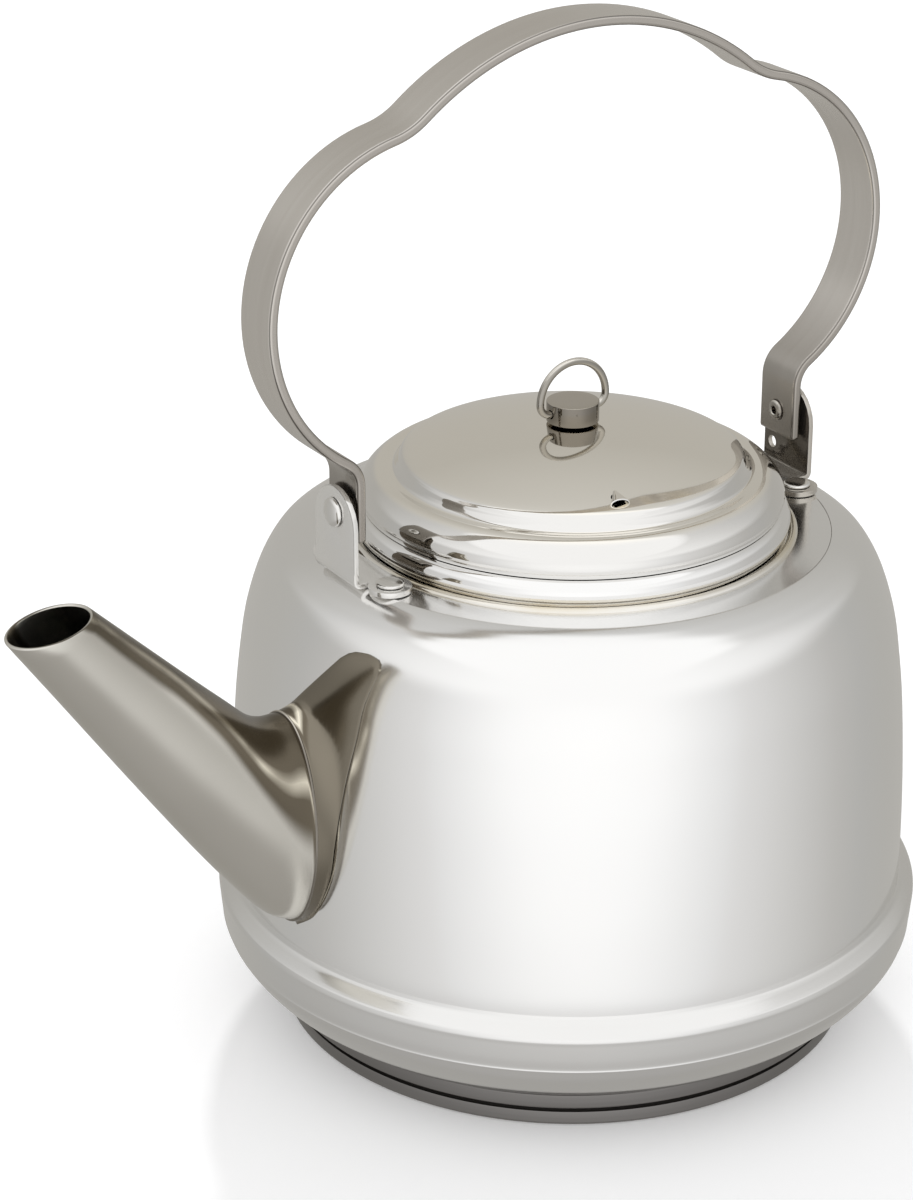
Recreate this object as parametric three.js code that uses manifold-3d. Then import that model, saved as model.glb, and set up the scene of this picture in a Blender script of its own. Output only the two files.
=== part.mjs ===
// Stovetop kettle of polished sheet steel with a strap bail and a lift-off lid.
// Millimetres, +Z up. The underside of the base is at z = 0, the axis of the body is Z,
// the bail stands in the X-Z plane and hinges about a line along X, the spout points to -X.
import * as THREE from "three";
import { mergeVertices } from "three/addons/utils/BufferGeometryUtils.js";
import Module from "manifold-3d";

const wasm = await Module();
wasm.setup();

// Sheet, clearances and cutters
const sheet = 1.2; // wall of body, pan, spout, neck and lid
const fitGap = 0.3; // between pieces that rest on each other
const pinGap = 0.3; // round a shank in its hole
const overrun = 2; // how far a cutter runs past the face it leaves

// Base
const baseRadius = 100;
const baseDiscTop = 6.9;
const baseGroove = 0.8; // height of the dark groove above the disc
const baseGrooveDepth = 2.5;
const baseEdge = 0.8; // broken edge of disc and plate
const plateStep = 1.5; // the plate stands out over the disc
const plateRadius = baseRadius + plateStep;
const plateTop = 13.1;

// Body
const creaseHeight = 47.6; // where the pan meets the wall
const wallRadius = 118.3;
const bulgeStep = 5.7; // the pan bulges out past the wall
const bulgeRadius = wallRadius + bulgeStep;
const shoulderHeight = 178.2;

// Neck ring and lid
const neckRadius = 74.8;
const neckRise = 9.1;
const neckTop = shoulderHeight + neckRise;
const beadStep = 1; // the weld bead lies just outside the foot of the neck
const beadRadius = neckRadius + beadStep;
const beadRise = 1.3;
const beadHalfWidth = 1.6;
const mouthInset = 7.2;
const mouthRadius = neckRadius - mouthInset; // opening under the lid
const lidInset = 2.2;
const lidRadius = neckRadius - lidInset;
const lidRise = 27.4;
const lidRim = neckTop + fitGap;
const lidTop = lidRim + lidRise;
const skirtGap = 1.2; // between the skirt and the mouth
const skirtRadius = mouthRadius - skirtGap;
const skirtDrop = 0.7;
const skirtBottom = shoulderHeight - skirtDrop;
const ventRadius = 2.5;
const ventShares = [-0.204, -0.669]; // place of the vent, of the lid's radius

// Knob and ring
const knobRadius = 9;
const knobHeight = 7;
const knobEdge = 0.5;
const knobBase = lidTop + 2 * fitGap;
const ringHeight = knobBase + 0.5 * knobHeight; // hinge line of the ring
const wireRadius = 1.3;
const ringClear = 4.2; // from the knob's side to the middle of the wire
const ringRadius = knobRadius + ringClear;
const ringBend = 4;
const ringHoleDepth = 4.2;
const ringEndGap = 0.8; // from the end of the wire to the end of its hole
const ringEnd = knobRadius - ringHoleDepth + ringEndGap;
const screwRadius = 2.5;
const screwHeadRadius = 5.5;
const screwHeadHeight = 2.2;
const screwDepth = 2.4; // shank inside the knob
const screwWasherRadius = 8;
const screwWasher = 1;

// Spout, in its own vertical plane: reach is measured from the axis of the body
const spoutTurn = THREE.MathUtils.degToRad(7); // off the plane of the bail, as photographed
const seamStep = 5.2; // the vertical seam between tube and collar stands off the wall
const seamReach = wallRadius + seamStep;
const rootDrop = 35.6; // top of the seam, below the shoulder
const rootTop = shoulderHeight - rootDrop;
const rootLift = 19; // foot of the seam, above the crease
const rootBottom = creaseHeight + rootLift;
const rootHalfWidth = 17.8;
const spoutReach = 87;
const lipReach = seamReach + spoutReach;
const spoutRise = 55.7;
const lipHeight = rootTop + spoutRise;
const lipHalfLength = 14.6;
const lipHalfWidth = 11.6;
const lipTilt = THREE.MathUtils.degToRad(11); // the front lip is the lower one
const footRise = 23.4; // the collar on the wall reaches above the seam
const footTop = rootTop + footRise;
const footFall = 4.1; // and below it
const footBottom = rootBottom - footFall;
const footHalfWidth = 18.2;
const footLean = 21; // sideways lean of the collar's top, as photographed
const footEdge = 1.4; // how far the collar's rim stands off the wall
const finRise = 4.5; // how far the collar's upper fin stands off the wall below its tip
const footHollowDrop = 14; // solid tip of the collar above its hollow
const strainerRadius = 2.4;
const strainerPitch = 8.4;
const strainerRows = [2, 3, 2, 3, 2, 3];
const strainerLift = 15.4;
const strainerBase = rootBottom + strainerLift;

// Bail
const strapWidth = 19.2;
const strapThick = 3.4;
const strapEdge = 1.2;
const legGap = 11.8;
const legReach = neckRadius + legGap; // inner face of the leg
const pivotRise = 23.8;
const pivotHeight = shoulderHeight + pivotRise;
const legDrop = 9;
const legBottom = pivotHeight - legDrop;
const bendRadius = 12;
const lobeInset = 24.6;
const lobeReach = legReach - lobeInset;
const lobeRise = 68;
const lobeHeight = pivotHeight + lobeRise;
const lobeRadius = 55.9;
const dimpleRadius = 9;
const crownRise = 51.1;
const crownHeight = pivotHeight + crownRise; // centre of the crown's arc
const crownRadius = 99.2;

// Brackets and rivets
const earSheet = 1.8;
const earHalfWidth = 12.6;
const earRise = 9;
const earTop = pivotHeight + earRise;
const earHoleRadius = 2.25;
const earHoleDrop = 15.6; // hole of the rear ear, below the pivot
const earHoleSide = 8.2;
const washerThick = 1;
const washerRadius = 6.2;
const footGap = 0.8; // between the bead and the foot
const footInner = beadRadius + beadHalfWidth + footGap;
const footBend = 2.6;
const rivetInset = 3.6; // rivets of the foot, inside the leg's face and to its sides
const rivetSide = 18;
const lobeCentre = [legReach - rivetInset, rivetSide];
const footLobeRadius = 7.3;
const flatMargin = 2.1;
const flatRadius = legReach + flatMargin; // the shoulder is flat inside this
const rivetHeadRadius = 4.7;
const rivetHeadHeight = 1.4;
const rivetShank = 2;
const rivetTail = 3.2;
const rivetTailHeight = 1.3;
const pivotShank = 2.6;
const pivotHeadRadius = 5;
const pivotHeadHeight = 2.1;
const pivotFlareRadius = 3.5;
const pivotFlare = 1.1;
const pivotBore = 1.4;
const pivotBoreDepth = 4;

// Facets
const roundFacets = 48;
const spoutFacets = 32;
const rivetFacets = 16;
const holeFacets = 12;
const wireFacets = 8;

// Pan: share of the way out from the base to the bulge, of the way back to the wall, of the height.
const panShares = [
  [0, 0, 0], [0.188, 0, 0.053], [0.425, 0, 0.211], [0.65, 0, 0.363], [0.829, 0, 0.485],
  [0.925, 0, 0.573], [0.971, 0, 0.675], [1, 0, 0.822], [1, 0.043, 0.895], [1, 0.243, 0.947],
  [1, 0.6, 0.98], [1, 1, 1],
];
// Wall: share of the way out from the flat shoulder, share of the height.
const wallShares = [
  [0.956, 0], [0.985, 0.035], [1, 0.106], [0.9832, 0.303], [0.9292, 0.522], [0.8548, 0.673],
  [0.78, 0.772], [0.644, 0.87], [0.48, 0.938], [0.328, 0.968], [0.16, 0.99], [0, 1],
];
// Neck and lid: [radius share, height share] from the foot of the piece to its top.
const neckShares = [
  [0.976, 0], [0.995, 0.25], [1, 0.54], [0.985, 0.84], [0.958, 1],
  [0.924, 1], [0.906, 0.92], [0.902, 0.7],
];
const lidShares = [
  [0.986, 0], [1, 0.1], [0.995, 0.2], [0.972, 0.3], [0.931, 0.394], [0.893, 0.431],
  [0.854, 0.427], [0.835, 0.449], [0.818, 0.511], [0.807, 0.569], [0.778, 0.631],
  [0.689, 0.715], [0.551, 0.818], [0.413, 0.898], [0.275, 0.955], [0.138, 0.989],
];
// Spout stations from the mouth to the seam: upper reach and rise, lower reach and rise, width.
const spoutShares = [
  [1, 1, 1, 1, 0], [0.832, 0.803, 0.819, 0.802, 0.23], [0.64, 0.578, 0.642, 0.607, 0.45],
  [0.461, 0.369, 0.474, 0.424, 0.66], [0.309, 0.195, 0.326, 0.267, 0.84],
  [0.193, 0.065, 0.188, 0.13, 0.96], [0.096, 0.01, 0.084, 0.04, 1], [0, 0, 0, 0, 1],
];
// Foot of the collar: [share of the half turn, half-width share, height share].
const footShares = [
  [0, 0, 1], [0.067, 0.3, 0.99], [0.122, 0.48, 0.95], [0.194, 0.6, 0.854],
  [0.278, 0.8, 0.737], [0.361, 0.91, 0.61], [0.444, 0.98, 0.483], [0.528, 1, 0.366],
  [0.639, 0.92, 0.239], [0.75, 0.69, 0.132], [0.861, 0.37, 0.049], [1, 0, 0],
];
const leanStartShare = 0.32; // height from which the foot leans
const leanPower = 1.6;
const collarSteps = 6;
const collarFilletShare = 0.8;
const hollowFilletShare = 0.9;

const polished = new THREE.MeshStandardMaterial({ color: 0xd2cfca, roughness: 0.08, metalness: 1 });
const satin = new THREE.MeshStandardMaterial({ color: 0xb9b4ac, roughness: 0.34, metalness: 1 });
const bright = new THREE.MeshStandardMaterial({ color: 0xc6c2bb, roughness: 0.16, metalness: 1 });
const dark = new THREE.MeshStandardMaterial({ color: 0x8d8880, roughness: 0.28, metalness: 1 });

const kettle = new THREE.Group();
kettle.name = "kettle";

function add(name, shape, material) {
  const geometry = shape.isBufferGeometry ? shape : geometryOf(shape);
  geometry.computeVertexNormals();
  const mesh = new THREE.Mesh(geometry, material);
  mesh.name = name;
  kettle.add(mesh);
}

function solidOf(geometry) {
  const bare = geometry.clone();
  bare.deleteAttribute("normal");
  bare.deleteAttribute("uv");
  const merged = mergeVertices(bare, 1e-4);
  return new wasm.Manifold(new wasm.Mesh({
    numProp: 3,
    vertProperties: new Float32Array(merged.attributes.position.array),
    triVerts: new Uint32Array(merged.index.array),
  }));
}

function geometryOf(solid) {
  const mesh = solid.getMesh();
  const count = mesh.numProp;
  const position = new Float32Array(mesh.numVert * 3);
  for (let i = 0; i < mesh.numVert; i++)
    position.set(mesh.vertProperties.subarray(i * count, i * count + 3), i * 3);
  return new THREE.BufferGeometry()
    .setAttribute("position", new THREE.BufferAttribute(position, 3))
    .setIndex(new THREE.BufferAttribute(new Uint32Array(mesh.triVerts), 1));
}

const mix = (a, b, share) => a + (b - a) * share;

function signedArea(points) {
  return points.reduce((sum, [x, y], i) => {
    const [u, v] = points[(i + 1) % points.length];
    return sum + (x * v - u * y) / 2;
  }, 0);
}

// A turned solid about Z from [radius, height] points: closed on itself, or ending on the axis.
function revolve(points, facets = roundFacets) {
  const onAxis = points[0][0] === 0 && points.at(-1)[0] === 0;
  const loop = signedArea(points) > 0 ? [...points] : [...points].reverse();
  if (!onAxis) loop.push(loop[0]);
  const profile = loop.map(([r, z]) => new THREE.Vector2(r, z));
  return solidOf(new THREE.LatheGeometry(profile, facets).rotateX(Math.PI / 2));
}

// The outline moved sideways by a distance, to its left when it is positive.
function offset(points, distance) {
  return points.map((point, i) => {
    const before = points[Math.max(i - 1, 0)];
    const after = points[Math.min(i + 1, points.length - 1)];
    const unit = ([x, y], [u, v]) => {
      const length = Math.hypot(u - x, v - y) || 1;
      return [(u - x) / length, (v - y) / length];
    };
    const a = i ? unit(before, point) : unit(point, after);
    const b = i < points.length - 1 ? unit(point, after) : a;
    const normal = [-(a[1] + b[1]) / 2, (a[0] + b[0]) / 2];
    const square = normal[0] ** 2 + normal[1] ** 2;
    return [point[0] + (normal[0] * distance) / square, point[1] + (normal[1] * distance) / square];
  });
}

// The inner side of a sheet, with about half the points of its outer side
const lining = (points) =>
  offset(points, sheet).filter((_, i) => i % 2 === 0 || i === points.length - 1);

const scaled = (shares, radius, low, high) =>
  shares.map(([r, h]) => [r * radius, mix(low, high, h)]);

// A solid through rings of equal count, closed by flat fans at both ends.
function loft(rings) {
  const count = rings[0].length;
  const points = rings.flat();
  const index = [];
  for (let j = 0; j < rings.length - 1; j++)
    for (let i = 0; i < count; i++) {
      const a = j * count + i;
      const b = j * count + ((i + 1) % count);
      index.push(a, b, b + count, a, b + count, a + count);
    }
  for (const [ring, start, turn] of [[rings[0], 0, 1], [rings.at(-1), (rings.length - 1) * count, 0]]) {
    const centre = ring.reduce((sum, p) => sum.clone().add(p), new THREE.Vector3())
      .divideScalar(count);
    points.push(centre);
    for (let i = 0; i < count; i++) {
      const a = start + i;
      const b = start + ((i + 1) % count);
      index.push(...(turn ? [b, a] : [a, b]), points.length - 1);
    }
  }
  const geometry = new THREE.BufferGeometry().setFromPoints(points).setIndex(index);
  const solid = solidOf(geometry);
  if (solid.volume() > 0) return solid;
  for (let i = 0; i < index.length; i += 3) [index[i], index[i + 1]] = [index[i + 1], index[i]];
  return solidOf(geometry.setIndex(index));
}

// A rod of the given radius from one point to another.
function rod(from, to, radius, facets = holeFacets) {
  const axis = to.clone().sub(from);
  const geometry = new THREE.CylinderGeometry(radius, radius, axis.length(), facets);
  geometry.applyQuaternion(
    new THREE.Quaternion().setFromUnitVectors(new THREE.Vector3(0, 1, 0), axis.clone().normalize()),
  );
  const middle = from.clone().add(to).multiplyScalar(0.5);
  return solidOf(geometry.translate(middle.x, middle.y, middle.z));
}

const at = (x, y, z) => new THREE.Vector3(x, y, z);

// A section swept along a path in the X-Z plane; section points are [outward, along y].
function sweep(path, section) {
  return loft(path.map(({ point, normal }) =>
    section.map(([u, v]) => at(point[0] + normal[0] * u, v, point[1] + normal[1] * u))));
}

function arc(centre, radius, from, to, steps, side = 1) {
  return Array.from({ length: steps + 1 }, (_, i) => {
    const angle = mix(from, to, i / steps);
    const normal = [Math.cos(angle), Math.sin(angle)];
    return {
      point: [centre[0] + normal[0] * radius, centre[1] + normal[1] * radius],
      normal: [normal[0] * side, normal[1] * side],
    };
  });
}

const angleTo = (from, to) => Math.atan2(to[1] - from[1], to[0] - from[0]);
const mirrored = (path) =>
  [...path].reverse().map(({ point, normal }) =>
    ({ point: [-point[0], point[1]], normal: [-normal[0], normal[1]] }));

// Base: a grooved disc under a plate
function buildBase() {
  const grooveRadius = baseRadius - baseGrooveDepth;
  add("base_disc", revolve([
    [0, 0], [baseRadius - baseEdge, 0], [baseRadius, baseEdge],
    [baseRadius, baseDiscTop - baseGroove - baseEdge],
    [baseRadius - baseEdge, baseDiscTop - baseGroove],
    [grooveRadius, baseDiscTop - baseGroove], [grooveRadius, baseDiscTop], [0, baseDiscTop],
  ]), satin);
  const bottom = baseDiscTop + fitGap;
  add("base_plate", revolve([
    [0, bottom], [plateRadius - baseEdge, bottom], [plateRadius, bottom + baseEdge],
    [plateRadius, plateTop - baseEdge], [plateRadius - baseEdge, plateTop], [0, plateTop],
  ]), satin);
}

const panBottom = plateTop + fitGap;
const wallOutline = wallShares.map(([out, height]) => [
  mix(flatRadius, wallRadius, out), mix(creaseHeight + fitGap, shoulderHeight, height),
]);
const creaseRadius = wallOutline[0][0];
const panOutline = panShares.map(([out, back, height]) => [
  mix(baseRadius, bulgeRadius, out) - (bulgeRadius - creaseRadius) * back,
  mix(panBottom, creaseHeight, height),
]);

function buildPan() {
  const inner = lining(panOutline);
  inner[0] = [inner[0][0], panBottom + sheet];
  inner[inner.length - 1] = [inner.at(-1)[0], creaseHeight];
  add("bottom_pan", revolve([
    [0, panBottom], ...panOutline, ...inner.reverse(), [0, panBottom + sheet],
  ]), polished);
}

function wallRadiusAt(height) {
  const i = Math.min(
    wallOutline.findIndex(([, z]) => z >= height) - 1, wallOutline.length - 2);
  const [[r0, z0], [r1, z1]] = [wallOutline[Math.max(i, 0)], wallOutline[Math.max(i, 0) + 1]];
  return mix(r0, r1, (height - z0) / (z1 - z0));
}

// Holes behind the spout, in staggered rows
function strainer() {
  return strainerRows.flatMap((count, row) => {
    const height = strainerBase + row * strainerPitch;
    return Array.from({ length: count }, (_, i) => {
      const side = (i - (count - 1) / 2) * strainerPitch;
      const turn = spoutTurn + side / wallRadiusAt(height);
      const ray = at(-Math.cos(turn), -Math.sin(turn), 0);
      const radius = wallRadiusAt(height);
      const from = ray.clone().multiplyScalar(radius - sheet - overrun).setZ(height);
      return rod(from, ray.clone().multiplyScalar(radius + overrun).setZ(height), strainerRadius);
    });
  });
}

function rivetSeats(gap) {
  return [-1, 1].flatMap((end) => [-1, 1].map((side) => rod(
    at(end * lobeCentre[0], side * lobeCentre[1], shoulderHeight - sheet - overrun),
    at(end * lobeCentre[0], side * lobeCentre[1], shoulderHeight + 2 * overrun),
    rivetShank + gap,
  )));
}

function buildWall() {
  const bead = [
    [beadRadius + beadHalfWidth, shoulderHeight],
    [beadRadius + beadHalfWidth / 2, shoulderHeight + beadRise * 0.75],
    [beadRadius, shoulderHeight + beadRise],
    [beadRadius - beadHalfWidth / 2, shoulderHeight + beadRise * 0.75],
    [beadRadius - beadHalfWidth, shoulderHeight],
  ];
  const outer = [...wallOutline, ...bead, [mouthRadius, shoulderHeight]];
  const under = lining(wallOutline);
  under[0] = [under[0][0], wallOutline[0][1]];
  under[under.length - 1] = [under.at(-1)[0], shoulderHeight - sheet];
  const body = revolve([...outer, [mouthRadius, shoulderHeight - sheet], ...under.reverse()]);
  add("body_wall", [...strainer(), ...rivetSeats(pinGap)]
    .reduce((solid, cutter) => solid.subtract(cutter), body), polished);
}

function buildNeck() {
  const outer = scaled(neckShares, neckRadius, shoulderHeight + fitGap, neckTop);
  const inner = lining(outer);
  inner[0] = [inner[0][0], outer[0][1]];
  inner[inner.length - 1] = [outer.at(-1)[0] + sheet, outer.at(-1)[1]];
  add("neck_ring", revolve([...outer, ...inner.reverse()]), polished);
}

// Spout: every ring lies in the plane through its upper and its lower point
function spoutRing([upReach, upRise, lowReach, lowRise, width], inset, reachShift = 0) {
  const along = [Math.cos(lipTilt) * lipHalfLength, -Math.sin(lipTilt) * lipHalfLength];
  const upper = [
    mix(seamReach, lipReach - along[0], upReach) + reachShift,
    mix(rootTop, lipHeight - along[1], upRise),
  ];
  const lower = [
    mix(seamReach, lipReach + along[0], lowReach) + reachShift,
    mix(rootBottom, lipHeight + along[1], lowRise),
  ];
  const half = Math.hypot(upper[0] - lower[0], upper[1] - lower[1]) / 2;
  const shrink = (half - inset) / half;
  const halfWidth = mix(lipHalfWidth, rootHalfWidth, width) - inset;
  return Array.from({ length: spoutFacets }, (_, i) => {
    const angle = (2 * Math.PI * i) / spoutFacets;
    const share = (Math.cos(angle) * shrink) / 2;
    return at(
      -(mix(lower[0], upper[0], 0.5) + (upper[0] - lower[0]) * share),
      -Math.sin(angle) * halfWidth,
      mix(lower[1], upper[1], 0.5) + (upper[1] - lower[1]) * share,
    );
  });
}

const turned = (solid) => solid.rotate([0, 0, THREE.MathUtils.radToDeg(spoutTurn)]);

// The first and the last ring once more, moved on by the overrun
function runOut(rings) {
  const step = (end, next) => end.map((p, i) => {
    const away = p.clone().sub(next[i]);
    return p.clone().add(away.setLength(overrun));
  });
  return [step(rings[0], rings[1]), ...rings, step(rings.at(-1), rings.at(-2))];
}

function buildSpout() {
  const outer = loft(spoutShares.map((share) => spoutRing(share, 0)));
  const bore = loft(runOut(spoutShares.map((share) => spoutRing(share, sheet))));
  add("spout_tube", turned(outer.subtract(bore)), bright);
}

function footAt(turnShare) {
  const i = Math.max(footShares.findIndex(([s]) => s >= turnShare) - 1, 0);
  const [a, b] = [footShares[i], footShares[i + 1]];
  const share = (turnShare - a[0]) / (b[0] - a[0]);
  return [mix(a[1], b[1], share), mix(a[2], b[2], share)];
}

// The point moved out to where the collar's outer face stands off the wall
function clearOfWall(point, share, angle) {
  const crest = Math.max(Math.cos(2 * Math.PI * angle), 0) * (1 - share);
  const reach = Math.hypot(point.x, point.y);
  const least = wallRadiusAt(point.z) + fitGap + footEdge + finRise * crest;
  return reach < least ? point.multiply(at(least / reach, least / reach, 1)) : point;
}

function collarRings(inset, ends) {
  const root = spoutRing(spoutShares.at(-1), inset, -fitGap);
  const middle = mix(footBottom, footTop, 0.5);
  const foot = root.map((_, i) => {
    const angle = i / spoutFacets;
    const side = angle <= 0.5 ? 1 : -1;
    const [widthShare, heightShare] = footAt(2 * Math.min(angle, 1 - angle));
    const full = mix(footBottom, footTop, heightShare);
    const height = full - (!ends ? 0 : full > middle ? footHollowDrop * heightShare : -inset);
    const radius = wallRadiusAt(height);
    const rise = (height - footBottom) / (footTop - footBottom);
    const leanShare = Math.max(rise - leanStartShare, 0) / (1 - leanStartShare);
    const lean = footLean * leanShare ** leanPower;
    const turn = (lean + side * widthShare * (footHalfWidth - 2 * inset)) / radius;
    const reach = radius + (ends ? 0 : fitGap + footEdge);
    return at(-reach * Math.cos(turn), -reach * Math.sin(turn), height);
  });
  const rings = Array.from({ length: collarSteps + 1 }, (_, j) => {
    const share = j / collarSteps;
    const fillet = ends ? hollowFilletShare : collarFilletShare;
    const inward = mix(share, Math.sin((share * Math.PI) / 2), fillet);
    const spread = mix(share, 1 - Math.cos((share * Math.PI) / 2), fillet);
    return root.map((p, i) => {
      const point = at(
        mix(p.x, foot[i].x, inward), mix(p.y, foot[i].y, spread), mix(p.z, foot[i].z, spread));
      return ends ? point : clearOfWall(point, share, i / spoutFacets);
    });
  });
  const moved = (ring, distance) => ring.map((p) => p.clone().setX(p.x + distance));
  return [...(ends ? [moved(rings[0], -overrun)] : []), ...rings, moved(foot, 2 * overrun)];
}

function buildCollar() {
  const shell = turned(loft(collarRings(0, false)).subtract(loft(collarRings(sheet, true))));
  const low = wallOutline[0][1];
  const body = revolve([
    [0, low], ...wallOutline.map(([r, z]) => [r + fitGap, z]), [0, shoulderHeight],
  ]);
  add("spout_collar", shell.subtract(body), bright);
}

// Bail: the inner face of half the strap, from the foot of the leg to the crown
function halfBail() {
  const lobe = [lobeReach, lobeHeight];
  const crown = [0, crownHeight];
  const bendReach = legReach + bendRadius;
  const bend = [bendReach,
    lobeHeight - Math.sqrt((lobeRadius + bendRadius) ** 2 - (bendReach - lobeReach) ** 2)];
  const toLobe = lobeRadius + dimpleRadius;
  const toCrown = crownRadius + dimpleRadius;
  const span = Math.hypot(lobe[0], lobe[1] - crown[1]);
  const along = (toCrown ** 2 - toLobe ** 2 + span ** 2) / (2 * span);
  const across = Math.sqrt(toCrown ** 2 - along ** 2);
  const unit = [lobe[0] / span, (lobe[1] - crown[1]) / span];
  const dimple = [unit[0] * along - unit[1] * across, crown[1] + unit[1] * along + unit[0] * across];
  const leg = { point: [legReach, legBottom], normal: [1, 0] };
  return [
    leg,
    ...arc(bend, bendRadius, Math.PI, angleTo(bend, lobe), 5, -1),
    ...arc(lobe, lobeRadius, angleTo(lobe, bend), angleTo(lobe, dimple), 13).slice(1),
    ...arc(dimple, dimpleRadius, angleTo(dimple, lobe), angleTo(dimple, crown), 3, -1).slice(1),
    ...arc(crown, crownRadius, angleTo(crown, dimple), Math.PI / 2, 8).slice(1),
  ];
}

function strapSection() {
  const halfWidth = strapWidth / 2 - strapEdge;
  const corner = (u, v, from) => Array.from({ length: 2 }, (_, i) => {
    const angle = from + (i * Math.PI) / 2;
    return [u + strapEdge * Math.cos(angle), v + strapEdge * Math.sin(angle)];
  });
  const low = strapEdge;
  const high = strapThick - strapEdge;
  return [
    ...corner(high, halfWidth, 0), ...corner(low, halfWidth, Math.PI / 2),
    ...corner(low, -halfWidth, Math.PI), ...corner(high, -halfWidth, (3 * Math.PI) / 2),
  ];
}

function buildBail() {
  const half = halfBail();
  const strap = sweep([...half, ...mirrored(half).slice(1)], strapSection());
  const reach = legReach + strapThick + overrun;
  const hole = rod(at(-reach, 0, pivotHeight), at(reach, 0, pivotHeight), pivotShank + pinGap,
    rivetFacets);
  add("bail_handle", strap.subtract(hole), satin);
}

const washerInner = legReach + strapThick + fitGap;
const earInner = washerInner + washerThick + fitGap;
const earOuter = earInner + earSheet;

// A turned piece laid along X at one end of the bail, its profile given as [radius, reach]
function pivotPiece(points, end) {
  return revolve(points, rivetFacets).rotate([0, 90 * end, 0]).translate([0, 0, pivotHeight]);
}

function buildPivots() {
  for (const [side, end] of [["front", -1], ["rear", 1]]) {
    const inside = legReach - fitGap - pivotFlare;
    const headFoot = earOuter + fitGap;
    add(`pivot_rivet_${side}`, pivotPiece([
      [0, inside + pivotBoreDepth], [pivotBore, inside + pivotBoreDepth], [pivotBore, inside],
      [pivotFlareRadius * 0.8, inside], [pivotFlareRadius, inside + pivotFlare / 2],
      [pivotFlareRadius, inside + pivotFlare], [pivotShank, inside + pivotFlare],
      [pivotShank, headFoot], [pivotHeadRadius, headFoot],
      [pivotHeadRadius * 0.94, headFoot + pivotHeadHeight * 0.4],
      [pivotHeadRadius * 0.64, headFoot + pivotHeadHeight * 0.85],
      [0, headFoot + pivotHeadHeight],
    ], end), bright);
    add(`pivot_washer_${side}`, pivotPiece([
      [pivotShank + pinGap, washerInner], [washerRadius, washerInner],
      [washerRadius, washerInner + washerThick], [pivotShank + pinGap, washerInner + washerThick],
    ], end), dark);
  }
}

const footLow = shoulderHeight + fitGap;

// Side view of the bent strip, from the foot's inner edge to the top of the ear
function stripOutline() {
  const outer = arc([earOuter - footBend, footLow + footBend], footBend, -Math.PI / 2, 0, 4);
  const inner = arc([earOuter - footBend, footLow + footBend], footBend - earSheet, 0,
    -Math.PI / 2, 4);
  return [
    [footInner, footLow], ...outer.map(({ point }) => point), [earOuter, earTop],
    [earInner, earTop], ...inner.map(({ point }) => point), [footInner, footLow + earSheet],
  ];
}

function extruded(points, depth) {
  const shape = new THREE.Shape(points.map(([x, y]) => new THREE.Vector2(x, y)));
  return new THREE.ExtrudeGeometry(shape, { depth, bevelEnabled: false });
}

function bracket() {
  const strip = solidOf(extruded(stripOutline(), 2 * earHalfWidth)
    .translate(0, 0, -earHalfWidth).rotateX(Math.PI / 2));
  const round = earTop - earHalfWidth;
  const dome = arc([0, round], earHalfWidth, 0, Math.PI, 12).map(({ point }) => point);
  const front = solidOf(extruded([
    [-earHalfWidth, footLow - overrun], [earHalfWidth, footLow - overrun], ...dome,
  ], earOuter + overrun - footInner)
    .rotateX(Math.PI / 2).rotateZ(Math.PI / 2).translate(footInner - overrun / 2, 0, 0));
  const lobes = [-1, 1].map((side) => {
    const centre = [lobeCentre[0], side * lobeCentre[1]];
    return solidOf(extruded(
      arc(centre, footLobeRadius, 0, 2 * Math.PI, 24).slice(1).map(({ point }) => point),
      earSheet).translate(0, 0, footLow));
  });
  return lobes.reduce((solid, lobe) => solid.add(lobe), strip.intersect(front));
}

function buildBrackets() {
  const pin = rod(at(earInner - overrun, 0, pivotHeight), at(earOuter + overrun, 0, pivotHeight),
    pivotShank + pinGap, rivetFacets);
  const plain = rivetSeats(pinGap).reduce((solid, seat) => solid.subtract(seat),
    bracket().subtract(pin));
  const spare = rod(
    at(earInner - overrun, earHoleSide, pivotHeight - earHoleDrop),
    at(earOuter + overrun, earHoleSide, pivotHeight - earHoleDrop), earHoleRadius);
  add("front_bracket", plain.rotate([0, 0, 180]), bright);
  add("rear_bracket", plain.subtract(spare), bright);
}

function buildRivets() {
  const headFoot = footLow + earSheet + fitGap;
  const tailTop = shoulderHeight - sheet - fitGap;
  const profile = [
    [0, tailTop - rivetTailHeight], [rivetTail * 0.8, tailTop - rivetTailHeight],
    [rivetTail, tailTop - rivetTailHeight / 2], [rivetTail, tailTop], [rivetShank, tailTop],
    [rivetShank, headFoot], [rivetHeadRadius, headFoot],
    [rivetHeadRadius, headFoot + rivetHeadHeight / 2],
    [rivetHeadRadius * 0.84, headFoot + rivetHeadHeight], [0, headFoot + rivetHeadHeight],
  ];
  for (const [place, end] of [["front", -1], ["rear", 1]])
    for (const [hand, side] of [["right", -1], ["left", 1]])
      add(`bracket_rivet_${place}_${hand}`, revolve(profile, rivetFacets)
        .translate([end * lobeCentre[0], side * lobeCentre[1], 0]), bright);
}

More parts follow.
